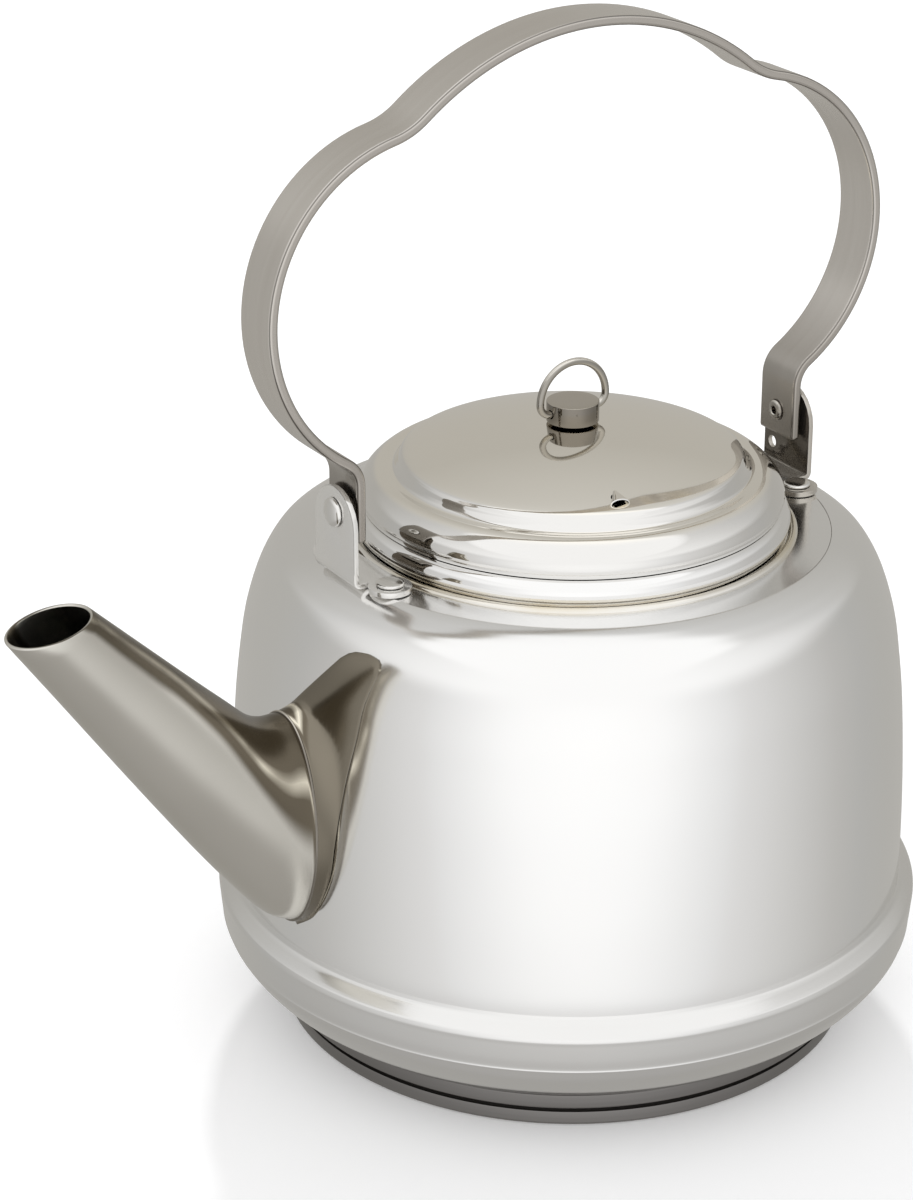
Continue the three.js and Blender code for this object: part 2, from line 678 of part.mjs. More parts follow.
function buildLid() {
  const outer = scaled(lidShares, lidRadius, lidRim, lidTop);
  const inner = lining(outer);
  inner[0] = [inner[0][0], lidRim];
  const shell = revolve([
    ...outer, [0, lidTop], [0, lidTop - sheet], ...inner.reverse(),
  ]);
  const [ventX, ventY] = ventShares.map((share) => share * lidRadius);
  const vent = rod(at(ventX, ventY, lidRim), at(ventX, ventY, lidTop), ventRadius);
  const centre = rod(at(0, 0, lidRim), at(0, 0, lidTop + overrun), screwRadius + pinGap);
  add("lid_shell", shell.subtract(vent).subtract(centre), polished);
  const skirtTop = mix(lidRim, lidTop, lidShares[5][1]) - 2 * sheet;
  add("lid_skirt", revolve([
    [skirtRadius - sheet, skirtBottom], [skirtRadius, skirtBottom],
    [skirtRadius, skirtTop], [skirtRadius - sheet, skirtTop],
  ]), bright);
}

function buildKnob() {
  const top = knobBase + knobHeight;
  const boreTop = knobBase + screwDepth + fitGap;
  const bore = screwRadius + pinGap;
  const body = revolve([
    [0, boreTop], [bore, boreTop], [bore, knobBase], [knobRadius - knobEdge, knobBase],
    [knobRadius, knobBase + knobEdge], [knobRadius, top - knobEdge],
    [knobRadius - knobEdge, top], [0, top],
  ], 2 * rivetFacets);
  const holes = [-1, 1].map((end) => rod(
    at(end * (knobRadius - ringHoleDepth), 0, ringHeight),
    at(end * (knobRadius + overrun), 0, ringHeight), wireRadius + pinGap));
  add("lid_knob", holes.reduce((solid, hole) => solid.subtract(hole), body), bright);

  const underLid = lidTop - sheet - 2 * fitGap;
  const washerTop = underLid;
  const headTop = washerTop - screwWasher - fitGap;
  add("knob_washer", revolve([
    [bore, washerTop - screwWasher], [screwWasherRadius, washerTop - screwWasher],
    [screwWasherRadius, washerTop], [bore, washerTop],
  ], rivetFacets), dark);
  add("knob_screw", revolve([
    [0, headTop - screwHeadHeight], [screwHeadRadius * 0.8, headTop - screwHeadHeight],
    [screwHeadRadius, headTop - screwHeadHeight / 2], [screwHeadRadius, headTop],
    [screwRadius, headTop], [screwRadius, knobBase + screwDepth], [0, knobBase + screwDepth],
  ], rivetFacets), dark);
}

function buildRing() {
  const bendReach = ringRadius - ringBend;
  const half = [
    { point: [ringEnd, ringHeight], normal: [0, -1] },
    ...arc([bendReach, ringHeight + ringBend], ringBend, -Math.PI / 2, 0, 5),
    ...arc([0, ringHeight + ringBend], ringRadius, 0, Math.PI / 2, 9).slice(1),
  ];
  const section = Array.from({ length: wireFacets }, (_, i) => {
    const angle = (2 * Math.PI * i) / wireFacets;
    return [wireRadius * Math.cos(angle), wireRadius * Math.sin(angle)];
  });
  add("knob_ring", sweep([...half, ...mirrored(half).slice(1)], section), bright);
}

buildBase();
buildPan();
buildWall();
buildNeck();
buildSpout();
buildCollar();
buildBail();
buildPivots();
buildBrackets();
buildRivets();
buildLid();
buildKnob();
buildRing();

export default kettle;
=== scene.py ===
# Stovetop kettle: the looks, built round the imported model.
# Metres, +Z up, origin under the middle of the base, bail in the X-Z plane, spout towards -X.
from math import atan2, cos, hypot, pi, radians, sin, sqrt, tau

import bpy
import numpy as np
from mathutils import Matrix, Vector


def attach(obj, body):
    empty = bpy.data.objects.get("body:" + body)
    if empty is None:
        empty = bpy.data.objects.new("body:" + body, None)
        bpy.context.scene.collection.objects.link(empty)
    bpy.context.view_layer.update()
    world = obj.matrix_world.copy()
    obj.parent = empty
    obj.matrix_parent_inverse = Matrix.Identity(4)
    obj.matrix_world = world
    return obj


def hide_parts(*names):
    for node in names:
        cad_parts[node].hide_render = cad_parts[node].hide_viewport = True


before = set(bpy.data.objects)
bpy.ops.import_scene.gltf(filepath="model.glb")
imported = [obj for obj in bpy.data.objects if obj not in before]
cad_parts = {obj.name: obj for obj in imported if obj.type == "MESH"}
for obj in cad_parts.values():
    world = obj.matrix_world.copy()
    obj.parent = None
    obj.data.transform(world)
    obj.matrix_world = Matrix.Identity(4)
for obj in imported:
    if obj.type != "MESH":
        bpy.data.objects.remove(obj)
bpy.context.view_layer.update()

mm = 0.001
print("frame loaded:", len(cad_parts), "nodes")


def pickNothing():
    if bpy.context.object and bpy.context.object.mode != "OBJECT":
        bpy.ops.object.mode_set(mode="OBJECT")
    bpy.ops.object.select_all(action="DESELECT")


def pickOnly(piece):
    pickNothing()
    piece.hide_set(False)
    piece.select_set(True)
    bpy.context.view_layer.objects.active = piece


def openForEdit(piece, kind="VERT"):
    pickOnly(piece)
    bpy.ops.object.mode_set(mode="EDIT")
    bpy.ops.mesh.select_mode(type=kind)
    bpy.ops.mesh.select_all(action="SELECT")


def closeEdit(piece, smoothAngle):
    bpy.ops.mesh.select_all(action="SELECT")
    bpy.ops.mesh.remove_doubles(threshold=0.002 * mm)
    bpy.ops.mesh.normals_make_consistent(inside=False)
    bpy.ops.object.mode_set(mode="OBJECT")
    bpy.ops.object.shade_smooth_by_angle(angle=radians(smoothAngle))
    return piece


# Without a window the rotate operator turns the other way, so the angle is given negated
def turnSelected(angle, axis, centre=(0, 0, 0)):
    bpy.ops.transform.rotate(value=-angle, orient_axis=axis, center_override=centre)


# These two take millimetres and work on what is selected
def extrudeBy(x, z):
    bpy.ops.mesh.extrude_region_move(TRANSFORM_OT_translate={"value": (x * mm, 0, z * mm)})


def sweepRound(steps, angle, x, z):
    bpy.ops.mesh.spin(steps=steps, angle=angle, center=(x * mm, 0, z * mm), axis=(0, 1, 0))


def applyModifier(piece, kind, **settings):
    pickOnly(piece)
    modifier = piece.modifiers.new(kind.lower(), kind)
    for key, value in settings.items():
        setattr(modifier, key, value)
    bpy.ops.object.modifier_apply(modifier=modifier.name)


def settle(piece):
    pickOnly(piece)
    bpy.ops.object.transform_apply(location=True, rotation=True, scale=True)
    return piece


# A new primitive under its own name, its transform applied
def addPiece(name, operator, **settings):
    pickNothing()
    operator(**settings)
    piece = settle(bpy.context.object)
    piece.name = name
    return piece


def breakEdges(piece, width, segments, limit, smoothAngle):
    applyModifier(piece, "BEVEL", width=width * mm, segments=segments, limit_method="ANGLE",
                  angle_limit=radians(limit))
    bpy.ops.object.shade_smooth_by_angle(angle=radians(smoothAngle))


# A smooth line through points of any width, with the given steps between two of them
def fairLine(points, steps=6):
    p = np.array(points, float)
    p = np.vstack([2 * p[0] - p[1], p, 2 * p[-1] - p[-2]])
    out = []
    for i in range(1, len(p) - 2):
        for k in range(steps):
            t = k / steps
            a, b, c, d = p[i - 1:i + 3]
            out.append(0.5 * (2 * b + (c - a) * t + (2 * a - 5 * b + 4 * c - d) * t * t
                              + (3 * b - a - 3 * c + d) * t ** 3))
    out.append(p[-2])
    return np.array(out)


# A smooth outline whose points are shares of the form's width and height
def formLine(form, steps=6):
    flat = form.get("flat", 0)
    return fairLine([(flat + (form["radius"] - flat) * out,
                      form["foot"] + (form["top"] - form["foot"]) * up)
                     for out, up in form["shape"]], steps)


# The line moved sideways, to its left when the distance is positive
def besideLine(points, distance):
    p = np.array(points, float)
    along = np.gradient(p, axis=0)
    along /= np.linalg.norm(along, axis=1)[:, None]
    return p + distance * np.column_stack([-along[:, 1], along[:, 0]])


# A small rounded corner between three profile points
def roundCorner(before, corner, after, size, steps=4):
    c = np.array(corner, float)
    a, b = (c + size * (np.array(end, float) - c) / np.linalg.norm(np.array(end, float) - c)
            for end in (before, after))
    share = np.linspace(0, 1, steps + 1)[:, None]
    return (1 - share) ** 2 * a + 2 * share * (1 - share) * c + share ** 2 * b


# Profile of radius and height in millimetres, all its corners off the axis rounded
def softProfile(points, size):
    out = []
    for i, point in enumerate(points):
        if 0 < i < len(points) - 1 and point[0] > 0:
            out.extend(roundCorner(points[i - 1], point, points[i + 1], size))
        else:
            out.append(point)
    return out


# A turned piece: one vertex drawn out along the profile, then spun about the axis
def turnPiece(name, profile, sides, smoothAngle=32):
    piece = addPiece(name, bpy.ops.mesh.primitive_plane_add, size=mm)
    openForEdit(piece)
    bpy.ops.mesh.merge(type="CENTER")
    bpy.ops.transform.translate(value=(profile[0][0] * mm, 0, profile[0][1] * mm))
    for (r0, z0), (r1, z1) in zip(profile, profile[1:]):
        extrudeBy(r1 - r0, z1 - z0)
    bpy.ops.mesh.select_all(action="SELECT")
    bpy.ops.mesh.spin(steps=sides, angle=tau, center=(0, 0, 0), axis=(0, 0, 1))
    return closeEdit(piece, smoothAngle)


def cutWith(piece, cutters):
    for cutter in cutters:
        applyModifier(piece, "BOOLEAN", operation="DIFFERENCE", solver="EXACT", object=cutter)
        bpy.data.objects.remove(cutter)
    bpy.ops.object.shade_smooth_by_angle(angle=radians(32))


def rodBetween(start, end, radius, sides=32):
    a, b = Vector(start) * mm, Vector(end) * mm
    pickNothing()
    bpy.ops.mesh.primitive_cylinder_add(vertices=sides, radius=radius * mm, depth=(b - a).length,
                                        location=(a + b) / 2)
    rod = bpy.context.object
    rod.rotation_euler = (b - a).to_track_quat("Z", "Y").to_euler()
    return settle(rod)


def finish(piece, body, material, slot, *nodes):
    piece.data.materials.clear()
    piece.data.materials.append(material)
    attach(piece, body)
    if nodes:
        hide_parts(*nodes)
    return piece


class Graph:
    def __init__(self, tree):
        self.tree = tree

    def node(self, kind, **settings):
        made = self.tree.nodes.new(kind)
        for key, value in settings.items():
            setattr(made, key, value)
        return made

    def link(self, source, target):
        self.tree.links.new(source, target)

    # A number or a colour is set, anything else is linked
    def put(self, value, target):
        if isinstance(value, (int, float)):
            target.default_value = value
        elif isinstance(value, tuple):
            target.default_value = (*value, 1)
        else:
            self.link(value, target)

    # Inputs by label, with _ for a space
    def fill(self, made, **values):
        for label, value in values.items():
            self.put(value, made.inputs[label.replace("_", " ")])
        return made.outputs

    def math(self, operation, *values, clamp=False):
        made = self.node("ShaderNodeMath", operation=operation, use_clamp=clamp)
        for value, target in zip(values, made.inputs):
            self.put(value, target)
        return made.outputs[0]

    def ramp(self, value, stops):
        made = self.node("ShaderNodeValToRGB")
        elements = made.color_ramp.elements
        elements[0].position, elements[1].position = stops[0][0], stops[-1][0]
        for at, _ in stops[1:-1]:
            elements.new(at)
        for element, (_, tone) in zip(elements, stops):
            element.color = (*tone, 1) if isinstance(tone, tuple) else (tone, tone, tone, 1)
        self.link(value, made.inputs[0])
        return made.outputs[0]

    def mix(self, share, a, b):
        made = self.node("ShaderNodeMix", data_type="RGBA")
        for value, at in ((share, 0), (a, 6), (b, 7)):
            self.put(value, made.inputs[at])
        return made.outputs[2]

    def noise(self, vector, scale, detail, roughness=0.5):
        return self.fill(self.node("ShaderNodeTexNoise"), Vector=vector, Scale=scale,
                         Detail=detail, Roughness=roughness)[0]

    def bump(self, height, strength, depth):
        return self.fill(self.node("ShaderNodeBump"), Height=height, Strength=strength,
                         Distance=depth * mm)[0]

    def parts(self, vector):
        made = self.node("ShaderNodeSeparateXYZ")
        self.link(vector, made.inputs[0])
        return made.outputs

    def joined(self, *values):
        made = self.node("ShaderNodeCombineXYZ")
        for value, target in zip(values, made.inputs):
            self.link(value, target)
        return made.outputs[0]

    def radius(self, x, y):
        return self.math("SQRT", self.math("ADD", self.math("POWER", x, 2.0),
                                           self.math("POWER", y, 2.0)))

    # Rises softly from 0 at the start to 1 at the end
    def smooth(self, value, start, end):
        return self.fill(self.node("ShaderNodeMapRange", interpolation_type="SMOOTHSTEP"),
                         Value=value, From_Min=start, From_Max=end)["Result"]

    # 1 under a rising and a falling line, each given as slope and offset
    def band(self, value, rise, fall):
        return self.math("MULTIPLY", self.math("MULTIPLY_ADD", value, *rise, clamp=True),
                         self.math("MULTIPLY_ADD", value, *fall, clamp=True))


def newGroup(name, inputs, outputs):
    tree = bpy.data.node_groups.new(name, "ShaderNodeTree")
    for way, labels in (("INPUT", inputs), ("OUTPUT", outputs)):
        for label in labels:
            kind = "NodeSocketVector" if label == "Vector" else "NodeSocketFloat"
            tree.interface.new_socket(label, in_out=way, socket_type=kind)
    g = Graph(tree)
    return g, g.node("NodeGroupInput").outputs, g.node("NodeGroupOutput").inputs


# Wiped and handled sheet: a slow unevenness, a fine haze and soft smears
def makeSheetGroup():
    g, source, out = newGroup("handledSheet", ("Vector", "Wave Size", "Haze Size"),
                              ("Wave", "Haze", "Smear"))
    smear = {"stretch": (1.0, 1.0, 2.2), "size": 22, "start": 0.42, "gain": 3.0}
    stretched = g.node("ShaderNodeMapping")
    stretched.inputs["Scale"].default_value = smear["stretch"]
    g.link(source["Vector"], stretched.inputs["Vector"])
    wide = g.noise(stretched.outputs[0], smear["size"], detail=3)
    g.link(g.noise(source["Vector"], source["Wave Size"], detail=1.5), out["Wave"])
    g.link(g.noise(source["Vector"], source["Haze Size"], detail=5, roughness=0.6), out["Haze"])
    g.link(g.math("MULTIPLY", g.math("SUBTRACT", wide, smear["start"], clamp=True),
                  smear["gain"], clamp=True), out["Smear"])
    return g.tree


# Fine lines along the first direction of the given vector
def makeGrainGroup():
    g, source, out = newGroup("brushedGrain", ("Vector", "Across"), ("Lines", "Streaks"))
    x, y, z = g.parts(source["Vector"])
    drawn = g.joined(x, g.math("MULTIPLY", y, source["Across"]), z)
    g.link(g.noise(drawn, scale=40, detail=4, roughness=0.7), out["Lines"])
    g.link(g.noise(drawn, scale=9, detail=3, roughness=0.6), out["Streaks"])
    return g.tree


sheetGroup = makeSheetGroup()
grainGroup = makeGrainGroup()


def newMaterial(name):
    material = bpy.data.materials.new(name)
    material.use_nodes = True
    material.node_tree.nodes.clear()
    g = Graph(material.node_tree)
    shader = g.node("ShaderNodeBsdfPrincipled")
    g.link(shader.outputs[0], g.node("ShaderNodeOutputMaterial").inputs[0])
    return material, g, shader, g.node("ShaderNodeTexCoord").outputs


# Polished, drawn or pressed sheet, and the bright small pieces
def makePolished(name, look):
    material, g, shader, coords = newMaterial(name)
    place = coords["Object"]
    x, y, z = g.parts(place)
    sheet = g.fill(g.node("ShaderNodeGroup", node_tree=sheetGroup), Vector=place,
                   Wave_Size=look["waveSize"], Haze_Size=look["hazeSize"])
    tone = g.mix(sheet["Wave"], look["coolTone"], look["warmTone"])
    if "weldRadius" in look:  # straw-coloured heat tint beside the weld
        off = g.math("ABSOLUTE", g.math("SUBTRACT", g.radius(x, y), look["weldRadius"] * mm))
        low = g.math("ABSOLUTE", g.math("SUBTRACT", z, look["weldHeight"] * mm))
        near = g.math("SUBTRACT", 1.0, g.math("DIVIDE", g.math("MAXIMUM", off, low),
                                              look["weldWidth"] * mm), clamp=True)
        uneven = g.math("MULTIPLY_ADD", g.noise(place, look["weldPatch"], detail=3),
                        *look["weldGain"], clamp=True)
        tone = g.mix(g.math("MULTIPLY", near, uneven, clamp=True), tone, look["weldTone"])
    if "shadeAxis" in look:  # painted light and shade: the tone changes with the way the surface faces
        facing = g.node("ShaderNodeVectorMath", operation="DOT_PRODUCT")
        g.link(coords["Normal"], facing.inputs[0])
        facing.inputs[1].default_value = look["shadeAxis"]
        wander = g.math("MULTIPLY_ADD", g.noise(place, look["wanderSize"], detail=2),
                        *look["wander"])
        level = g.math("ADD", facing.outputs["Value"], wander)
        if "rootX" in look:  # the painted shade reaches further towards its root
            near = g.smooth(x, look["rootX"][0] * mm, look["rootX"][1] * mm)
            level = g.math("MULTIPLY_ADD", near, look["rootShare"], level)
        drawn = look["shadeTone"]
        if "highlightTone" in look:  # a broken painted highlight line along it
            off = g.math("ABSOLUTE", g.math("SUBTRACT", level, look["highlightAt"]))
            highlight = g.math("SUBTRACT", 1.0, g.math("MULTIPLY", off, look["highlightSharp"]),
                            clamp=True)
            broken = g.math("MULTIPLY_ADD", g.noise(place, look["highlightSize"], detail=2),
                            look["highlightGaps"], look["highlightShift"], clamp=True)
            drawn = g.mix(g.math("MULTIPLY", highlight, broken), drawn, look["highlightTone"])
        tone = g.mix(g.smooth(level, look["shadeStart"], look["shadeEnd"]), tone, drawn)
    if "rimShadeTone" in look:  # painted dark lines on the bevelled rims of the upright sheet, standing in for shade and reflection
        rim = g.band(g.math("ABSOLUTE", g.parts(coords["Normal"])[0]), look["rimRise"],
                     look["rimFall"])
        above = g.math("GREATER_THAN", z, look["rimFoot"] * mm)
        tone = g.mix(g.math("MULTIPLY", rim, above), tone, look["rimShadeTone"])
    rough = g.math("MULTIPLY_ADD", sheet["Haze"], look["hazeRough"], look["rough"])
    g.fill(shader, Base_Color=tone, Metallic=look["metallic"],
           Roughness=g.math("MULTIPLY_ADD", sheet["Smear"], look["smearRough"], rough),
           Normal=g.bump(sheet["Wave"], look["waveStrength"], look["waveDepth"]))
    return material


# Satin steel with grain lines that follow the piece's own map, or run round the axis
def makeBrushed(name, look, mapName=None):
    material, g, shader, coords = newMaterial(name)
    place = vector = coords["Object"]
    x, y, z = g.parts(place)
    if mapName:
        vector = g.node("ShaderNodeUVMap", uv_map=mapName).outputs[0]
    elif "roundPitch" in look:
        vector = g.joined(g.math("MULTIPLY", g.math("ARCTAN2", y, x), look["roundPitch"]),
                          g.radius(x, y), g.math("MULTIPLY", z, look["across"]))
    grain = g.fill(g.node("ShaderNodeGroup", node_tree=grainGroup), Vector=vector,
                   Across=look["across"])
    tone = g.mix(grain["Streaks"], look["darkTone"], look["lightTone"])
    cloud = g.noise(place, look["cloudSize"], detail=3)
    tone = g.mix(g.math("MULTIPLY", cloud, look["cloudShare"]), tone, look["cloudTone"])
    if "legShadeTone" in look:  # painted shade: darker brown low on the legs, darker narrow sides, dark lines on the bevels
        low = g.smooth(g.math("MULTIPLY_ADD", cloud, look["legWander"] * mm, z),
                       look["legTop"] * mm, look["legFoot"] * mm)
        tone = g.mix(g.math("MULTIPLY", low, look["legShare"]), tone, look["legShadeTone"])
        slant = g.math("ABSOLUTE", g.parts(coords["Normal"])[1])
        side = g.math("MULTIPLY_ADD", slant, *look["sideRise"], clamp=True)
        tone = g.mix(g.math("MULTIPLY", side, look["sideShare"]), tone, look["sideShadeTone"])
        edge = g.band(slant, look["edgeRise"], look["edgeFall"])
        tone = g.mix(g.math("MULTIPLY", edge, look["edgeShare"]), tone, look["edgeShadeTone"])
    g.fill(shader, Base_Color=tone, Metallic=1.0,
           Roughness=g.math("MULTIPLY_ADD", grain["Lines"], look["grainRough"], look["rough"]),
           Normal=g.bump(grain["Lines"], look["grainStrength"], look["grainDepth"]))
    return material


# Tones, roughness, texture scales, lengths in millimetres, and slopes with their offsets
polishedLook = {"coolTone": (0.875, 0.875, 0.87), "warmTone": (0.9, 0.892, 0.878), "metallic": 1.0,
                "rough": 0.04, "hazeRough": 0.02, "smearRough": 0.02, "waveSize": 9,
                "hazeSize": 120, "waveStrength": 0.05, "waveDepth": 2.0, "weldPatch": 30,
                "weldGain": (1.6, -0.35), "wanderSize": 18, "wander": (0.16, -0.08),
                "highlightSize": 34, "highlightSharp": 12.0, "highlightGaps": 3.2, "highlightShift": -1.2}
wallLook = dict(polishedLook, rough=0.12, hazeRough=0.03, weldRadius=76.0, weldHeight=179.0,
                weldWidth=2.4, weldTone=(0.66, 0.54, 0.3))
neckLook = dict(polishedLook, weldRadius=74.0, weldHeight=178.6, weldWidth=2.0,
                weldTone=(0.66, 0.55, 0.34))
panLook = dict(polishedLook, coolTone=(0.8, 0.797, 0.787), warmTone=(0.825, 0.816, 0.8),
               rough=0.17)
# The lid's upward faces are painted lighter and warmer, a painted highlight
lidLook = dict(polishedLook, coolTone=(0.80, 0.79, 0.77), warmTone=(0.83, 0.82, 0.8),
               shadeAxis=(0, 0, 1), shadeStart=0.78, shadeEnd=0.94, shadeTone=(0.95, 0.915, 0.84))
earLook = dict(polishedLook, coolTone=(0.80, 0.79, 0.77), warmTone=(0.86, 0.845, 0.815),
               rough=0.12, hazeRough=0.05, waveSize=40, waveStrength=0.1)
# The front bracket's inner face is painted dark brown as painted shade, its bevelled rims painted
# dark
frontEarLook = dict(earLook, metallic=0.8, shadeAxis=(1, 0, 0), shadeStart=0.4, shadeEnd=0.7,
                    shadeTone=(0.15, 0.128, 0.1), rimShadeTone=(0.03, 0.027, 0.022), rimFoot=184.0,
                    rimRise=(6.0, -1.0), rimFall=(-14.0, 13.3))
# The rear bracket: the front bracket's steel painted darker and browner all over as painted shade,
# its inner face in painted shade too
shadedRearEarLook = dict(frontEarLook, shadeAxis=(-1, 0, 0), coolTone=(0.5, 0.465, 0.41),
                   warmTone=(0.64, 0.61, 0.56), shadeTone=(0.13, 0.115, 0.095))
# The knob and the ring wire are painted lighter on their upward faces, with a painted highlight
# line
knobLook = dict(earLook, coolTone=(0.18, 0.163, 0.14), warmTone=(0.29, 0.266, 0.23), rough=0.04,
                shadeAxis=(0, 0, 1), shadeStart=0.35, shadeEnd=0.8, shadeTone=(0.56, 0.52, 0.455),
                highlightTone=(0.64, 0.6, 0.54), highlightAt=0.6)
wireLook = dict(knobLook, coolTone=(0.3, 0.28, 0.25), warmTone=(0.42, 0.4, 0.36),
                shadeTone=(0.85, 0.82, 0.76), highlightTone=(0.9, 0.87, 0.8))
# The spout tube is painted dark brown on its upper side and towards its root as painted shade and
# dark reflection, with a painted highlight line
tubeLook = dict(polishedLook, coolTone=(0.64, 0.618, 0.565), warmTone=(0.71, 0.687, 0.63),
                rough=0.2, hazeRough=0.05, smearRough=0.05, waveSize=24, waveStrength=0.18,
                shadeAxis=(0.667, -0.03, 0.744), shadeStart=0.5, shadeEnd=0.66,
                shadeTone=(0.15, 0.128, 0.095), highlightTone=(0.9, 0.84, 0.70), highlightAt=0.84,
                rootX=(-172.0, -118.0), rootShare=0.5)
# The collar is the spout's steel painted dark brown as painted shade and dark reflection, with a
# wide painted highlight
collarLook = dict(tubeLook, coolTone=(0.19, 0.168, 0.132), warmTone=(0.27, 0.24, 0.19),
                  rough=0.17, shadeStart=0.2, shadeEnd=0.3, highlightAt=0.42, highlightGaps=4.6,
                  rootShare=0.0)
# The strap's lower legs, narrow sides and bevels carry painted shade
strapLook = {"across": 30.0, "darkTone": (0.68, 0.645, 0.60), "lightTone": (0.80, 0.775, 0.735),
             "cloudTone": (0.70, 0.655, 0.60), "cloudSize": 16, "cloudShare": 0.5, "rough": 0.2,
             "grainRough": 0.1, "grainStrength": 0.1, "grainDepth": 0.2,
             "legTop": 262.0, "legFoot": 205.0, "legWander": 20.0, "legShare": 0.75,
             "legShadeTone": (0.2, 0.18, 0.155), "sideRise": (8.0, -6.6), "sideShare": 0.6,
             "sideShadeTone": (0.38, 0.35, 0.315), "edgeRise": (8.0, -3.2), "edgeFall": (-12.0, 10.4),
             "edgeShare": 0.75, "edgeShadeTone": (0.1, 0.088, 0.075)}
baseLook = {"across": 30.0, "roundPitch": 0.05, "darkTone": (0.17, 0.163, 0.157),
            "lightTone": (0.25, 0.24, 0.232), "cloudTone": (0.2, 0.19, 0.18), "cloudSize": 12,
            "cloudShare": 0.4, "rough": 0.28, "grainRough": 0.14, "grainStrength": 0.14,
            "grainDepth": 0.2}
darkLook = {"across": 1.0, "darkTone": (0.34, 0.32, 0.30), "lightTone": (0.5, 0.48, 0.45),
            "cloudTone": (0.3, 0.27, 0.24), "cloudSize": 60, "cloudShare": 0.5, "rough": 0.28,
            "grainRough": 0.1, "grainStrength": 0.1, "grainDepth": 0.2}

wallSteel = makePolished("polishedWall", wallLook)
neckSteel = makePolished("polishedNeck", neckLook)
panSteel = makePolished("satinPan", panLook)
lidSteel = makePolished("polishedLid", lidLook)
tubeSteel = makePolished("drawnSpout", tubeLook)
collarSteel = makePolished("pressedCollar", collarLook)
earSteel = makePolished("brightFittings", earLook)
frontEarSteel = makePolished("frontBracketSteel", frontEarLook)
shadedRearEarSteel = makePolished("shadedRearBracketSteel", shadedRearEarLook)
knobSteel = makePolished("turnedKnob", knobLook)
wireSteel = makePolished("ringWire", wireLook)
strapSteel = makeBrushed("satinStrap", strapLook, "strapMap")
baseSteel = makeBrushed("satinBase", baseLook)
darkSteel = makeBrushed("dullFasteners", darkLook)
print("materials made")

# The base is a disc with a dark groove above it, and a plate over both
base = {"radius": 101.0, "foot": 0.9, "discTop": 5.3, "grooveRadius": 98.7, "top": 7.2, "edge": 0.3,
        "sides": 160}
disc = turnPiece("baseDisc", softProfile(
    [(0, 0), (base["radius"] - base["foot"], 0), (base["radius"], base["foot"]),
     (base["radius"], base["discTop"]), (base["grooveRadius"], base["discTop"]),
     (base["grooveRadius"], base["top"]), (0, base["top"])], base["edge"]), base["sides"])
finish(disc, "kettle_body", baseSteel, "base_core", "base_disc")

plate = {"radius": 102.0, "bottom": 7.4, "top": 12.3, "edge": 0.4, "neck": 100.4, "neckTop": 13.3}
basePlate = turnPiece("basePlate", softProfile(
    [(0, plate["bottom"]), (plate["radius"], plate["bottom"]), (plate["radius"], plate["top"]),
     (plate["neck"], plate["top"]), (plate["neck"], plate["neckTop"]), (0, plate["neckTop"])],
    plate["edge"]), base["sides"])
finish(basePlate, "kettle_body", baseSteel, "base_core", "base_plate")

sheetThick = 1.2
pan = {"bottom": 13.4, "middle": 50.0, "lipInside": 117.4, "turnIn": 46.6, "sides": 192,
       "outline": [
           (100.8, 13.4), (103.2, 14.2), (108.4, 16.6), (114.2, 21.0), (118.4, 25.8),
           (121.2, 30.1), (122.4, 33.2), (122.7, 34.1), (122.7, 34.9), (123.1, 38.5),
           (123.6, 44.0), (123.75, 46.0), (123.4, 47.2), (122.6, 48.0), (121.6, 48.75),
           (120.6, 49.45), (119.7, 50.05), (118.95, 50.7), (118.4, 51.5), (118.15, 52.5)]}
panFloor = pan["bottom"] + sheetThick
panOuter = fairLine(pan["outline"])
panInner = besideLine(panOuter[panOuter[:, 1] < pan["turnIn"] - 1], sheetThick)[::-1]
panInner[-1] = (panInner[-1][0], panFloor)
panPiece = turnPiece("bottomPan", [
    (0, pan["bottom"]), (pan["middle"], pan["bottom"]), *panOuter,
    (pan["lipInside"], panOuter[-1][1]), (pan["lipInside"], pan["turnIn"]), *panInner,
    (pan["middle"], panFloor), (0, panFloor)], pan["sides"])
finish(panPiece, "kettle_body", panSteel, "polished_steel", "bottom_pan")

# Rounded shoulder and level top, with the weld bead round the neck's foot
wall = {"flat": 88.7, "radius": 118.3, "foot": 47.6, "top": 178.2, "mouth": 67.6, "edge": 0.3,
        "beadRadius": 75.8, "beadRise": 1.3, "beadHalf": 1.6, "beadPower": 1.4,
        "shelf": (82.0, 70.0), "underside": 78.0, "sides": 192,
        "shape": [(0.984, 0), (1, 0.106), (0.9832, 0.303), (0.9292, 0.522), (0.8548, 0.673),
                  (0.78, 0.772), (0.644, 0.87), (0.48, 0.938), (0.328, 0.968), (0.16, 0.9885),
                  (0.03, 1), (0, 1)]}
wallOuter = formLine(wall, 7)
wallInner = besideLine(wallOuter, sheetThick)[::-1]
wallInner[0] = (wallInner[0][0], wall["top"] - sheetThick)
wallInner[-1] = (wallInner[-1][0], wall["foot"])
beadLine = [(wall["beadRadius"] + wall["beadHalf"] * cos(a),
             wall["top"] + wall["beadRise"] * max(sin(a), 0) ** wall["beadPower"])
            for a in np.linspace(0, pi, 11)]
wallPiece = turnPiece("bodyWall", [
    *wallOuter, (wall["shelf"][0], wall["top"]), *beadLine, (wall["shelf"][1], wall["top"]),
    (wall["mouth"] + wall["edge"], wall["top"]), (wall["mouth"], wall["top"] - wall["edge"]),
    (wall["mouth"], wall["top"] - sheetThick), (wall["underside"], wall["top"] - sheetThick),
    *wallInner, wallOuter[0]], wall["sides"])


def wallRadiusAt(height):
    return float(np.interp(height, wallOuter[:, 1], wallOuter[:, 0]))


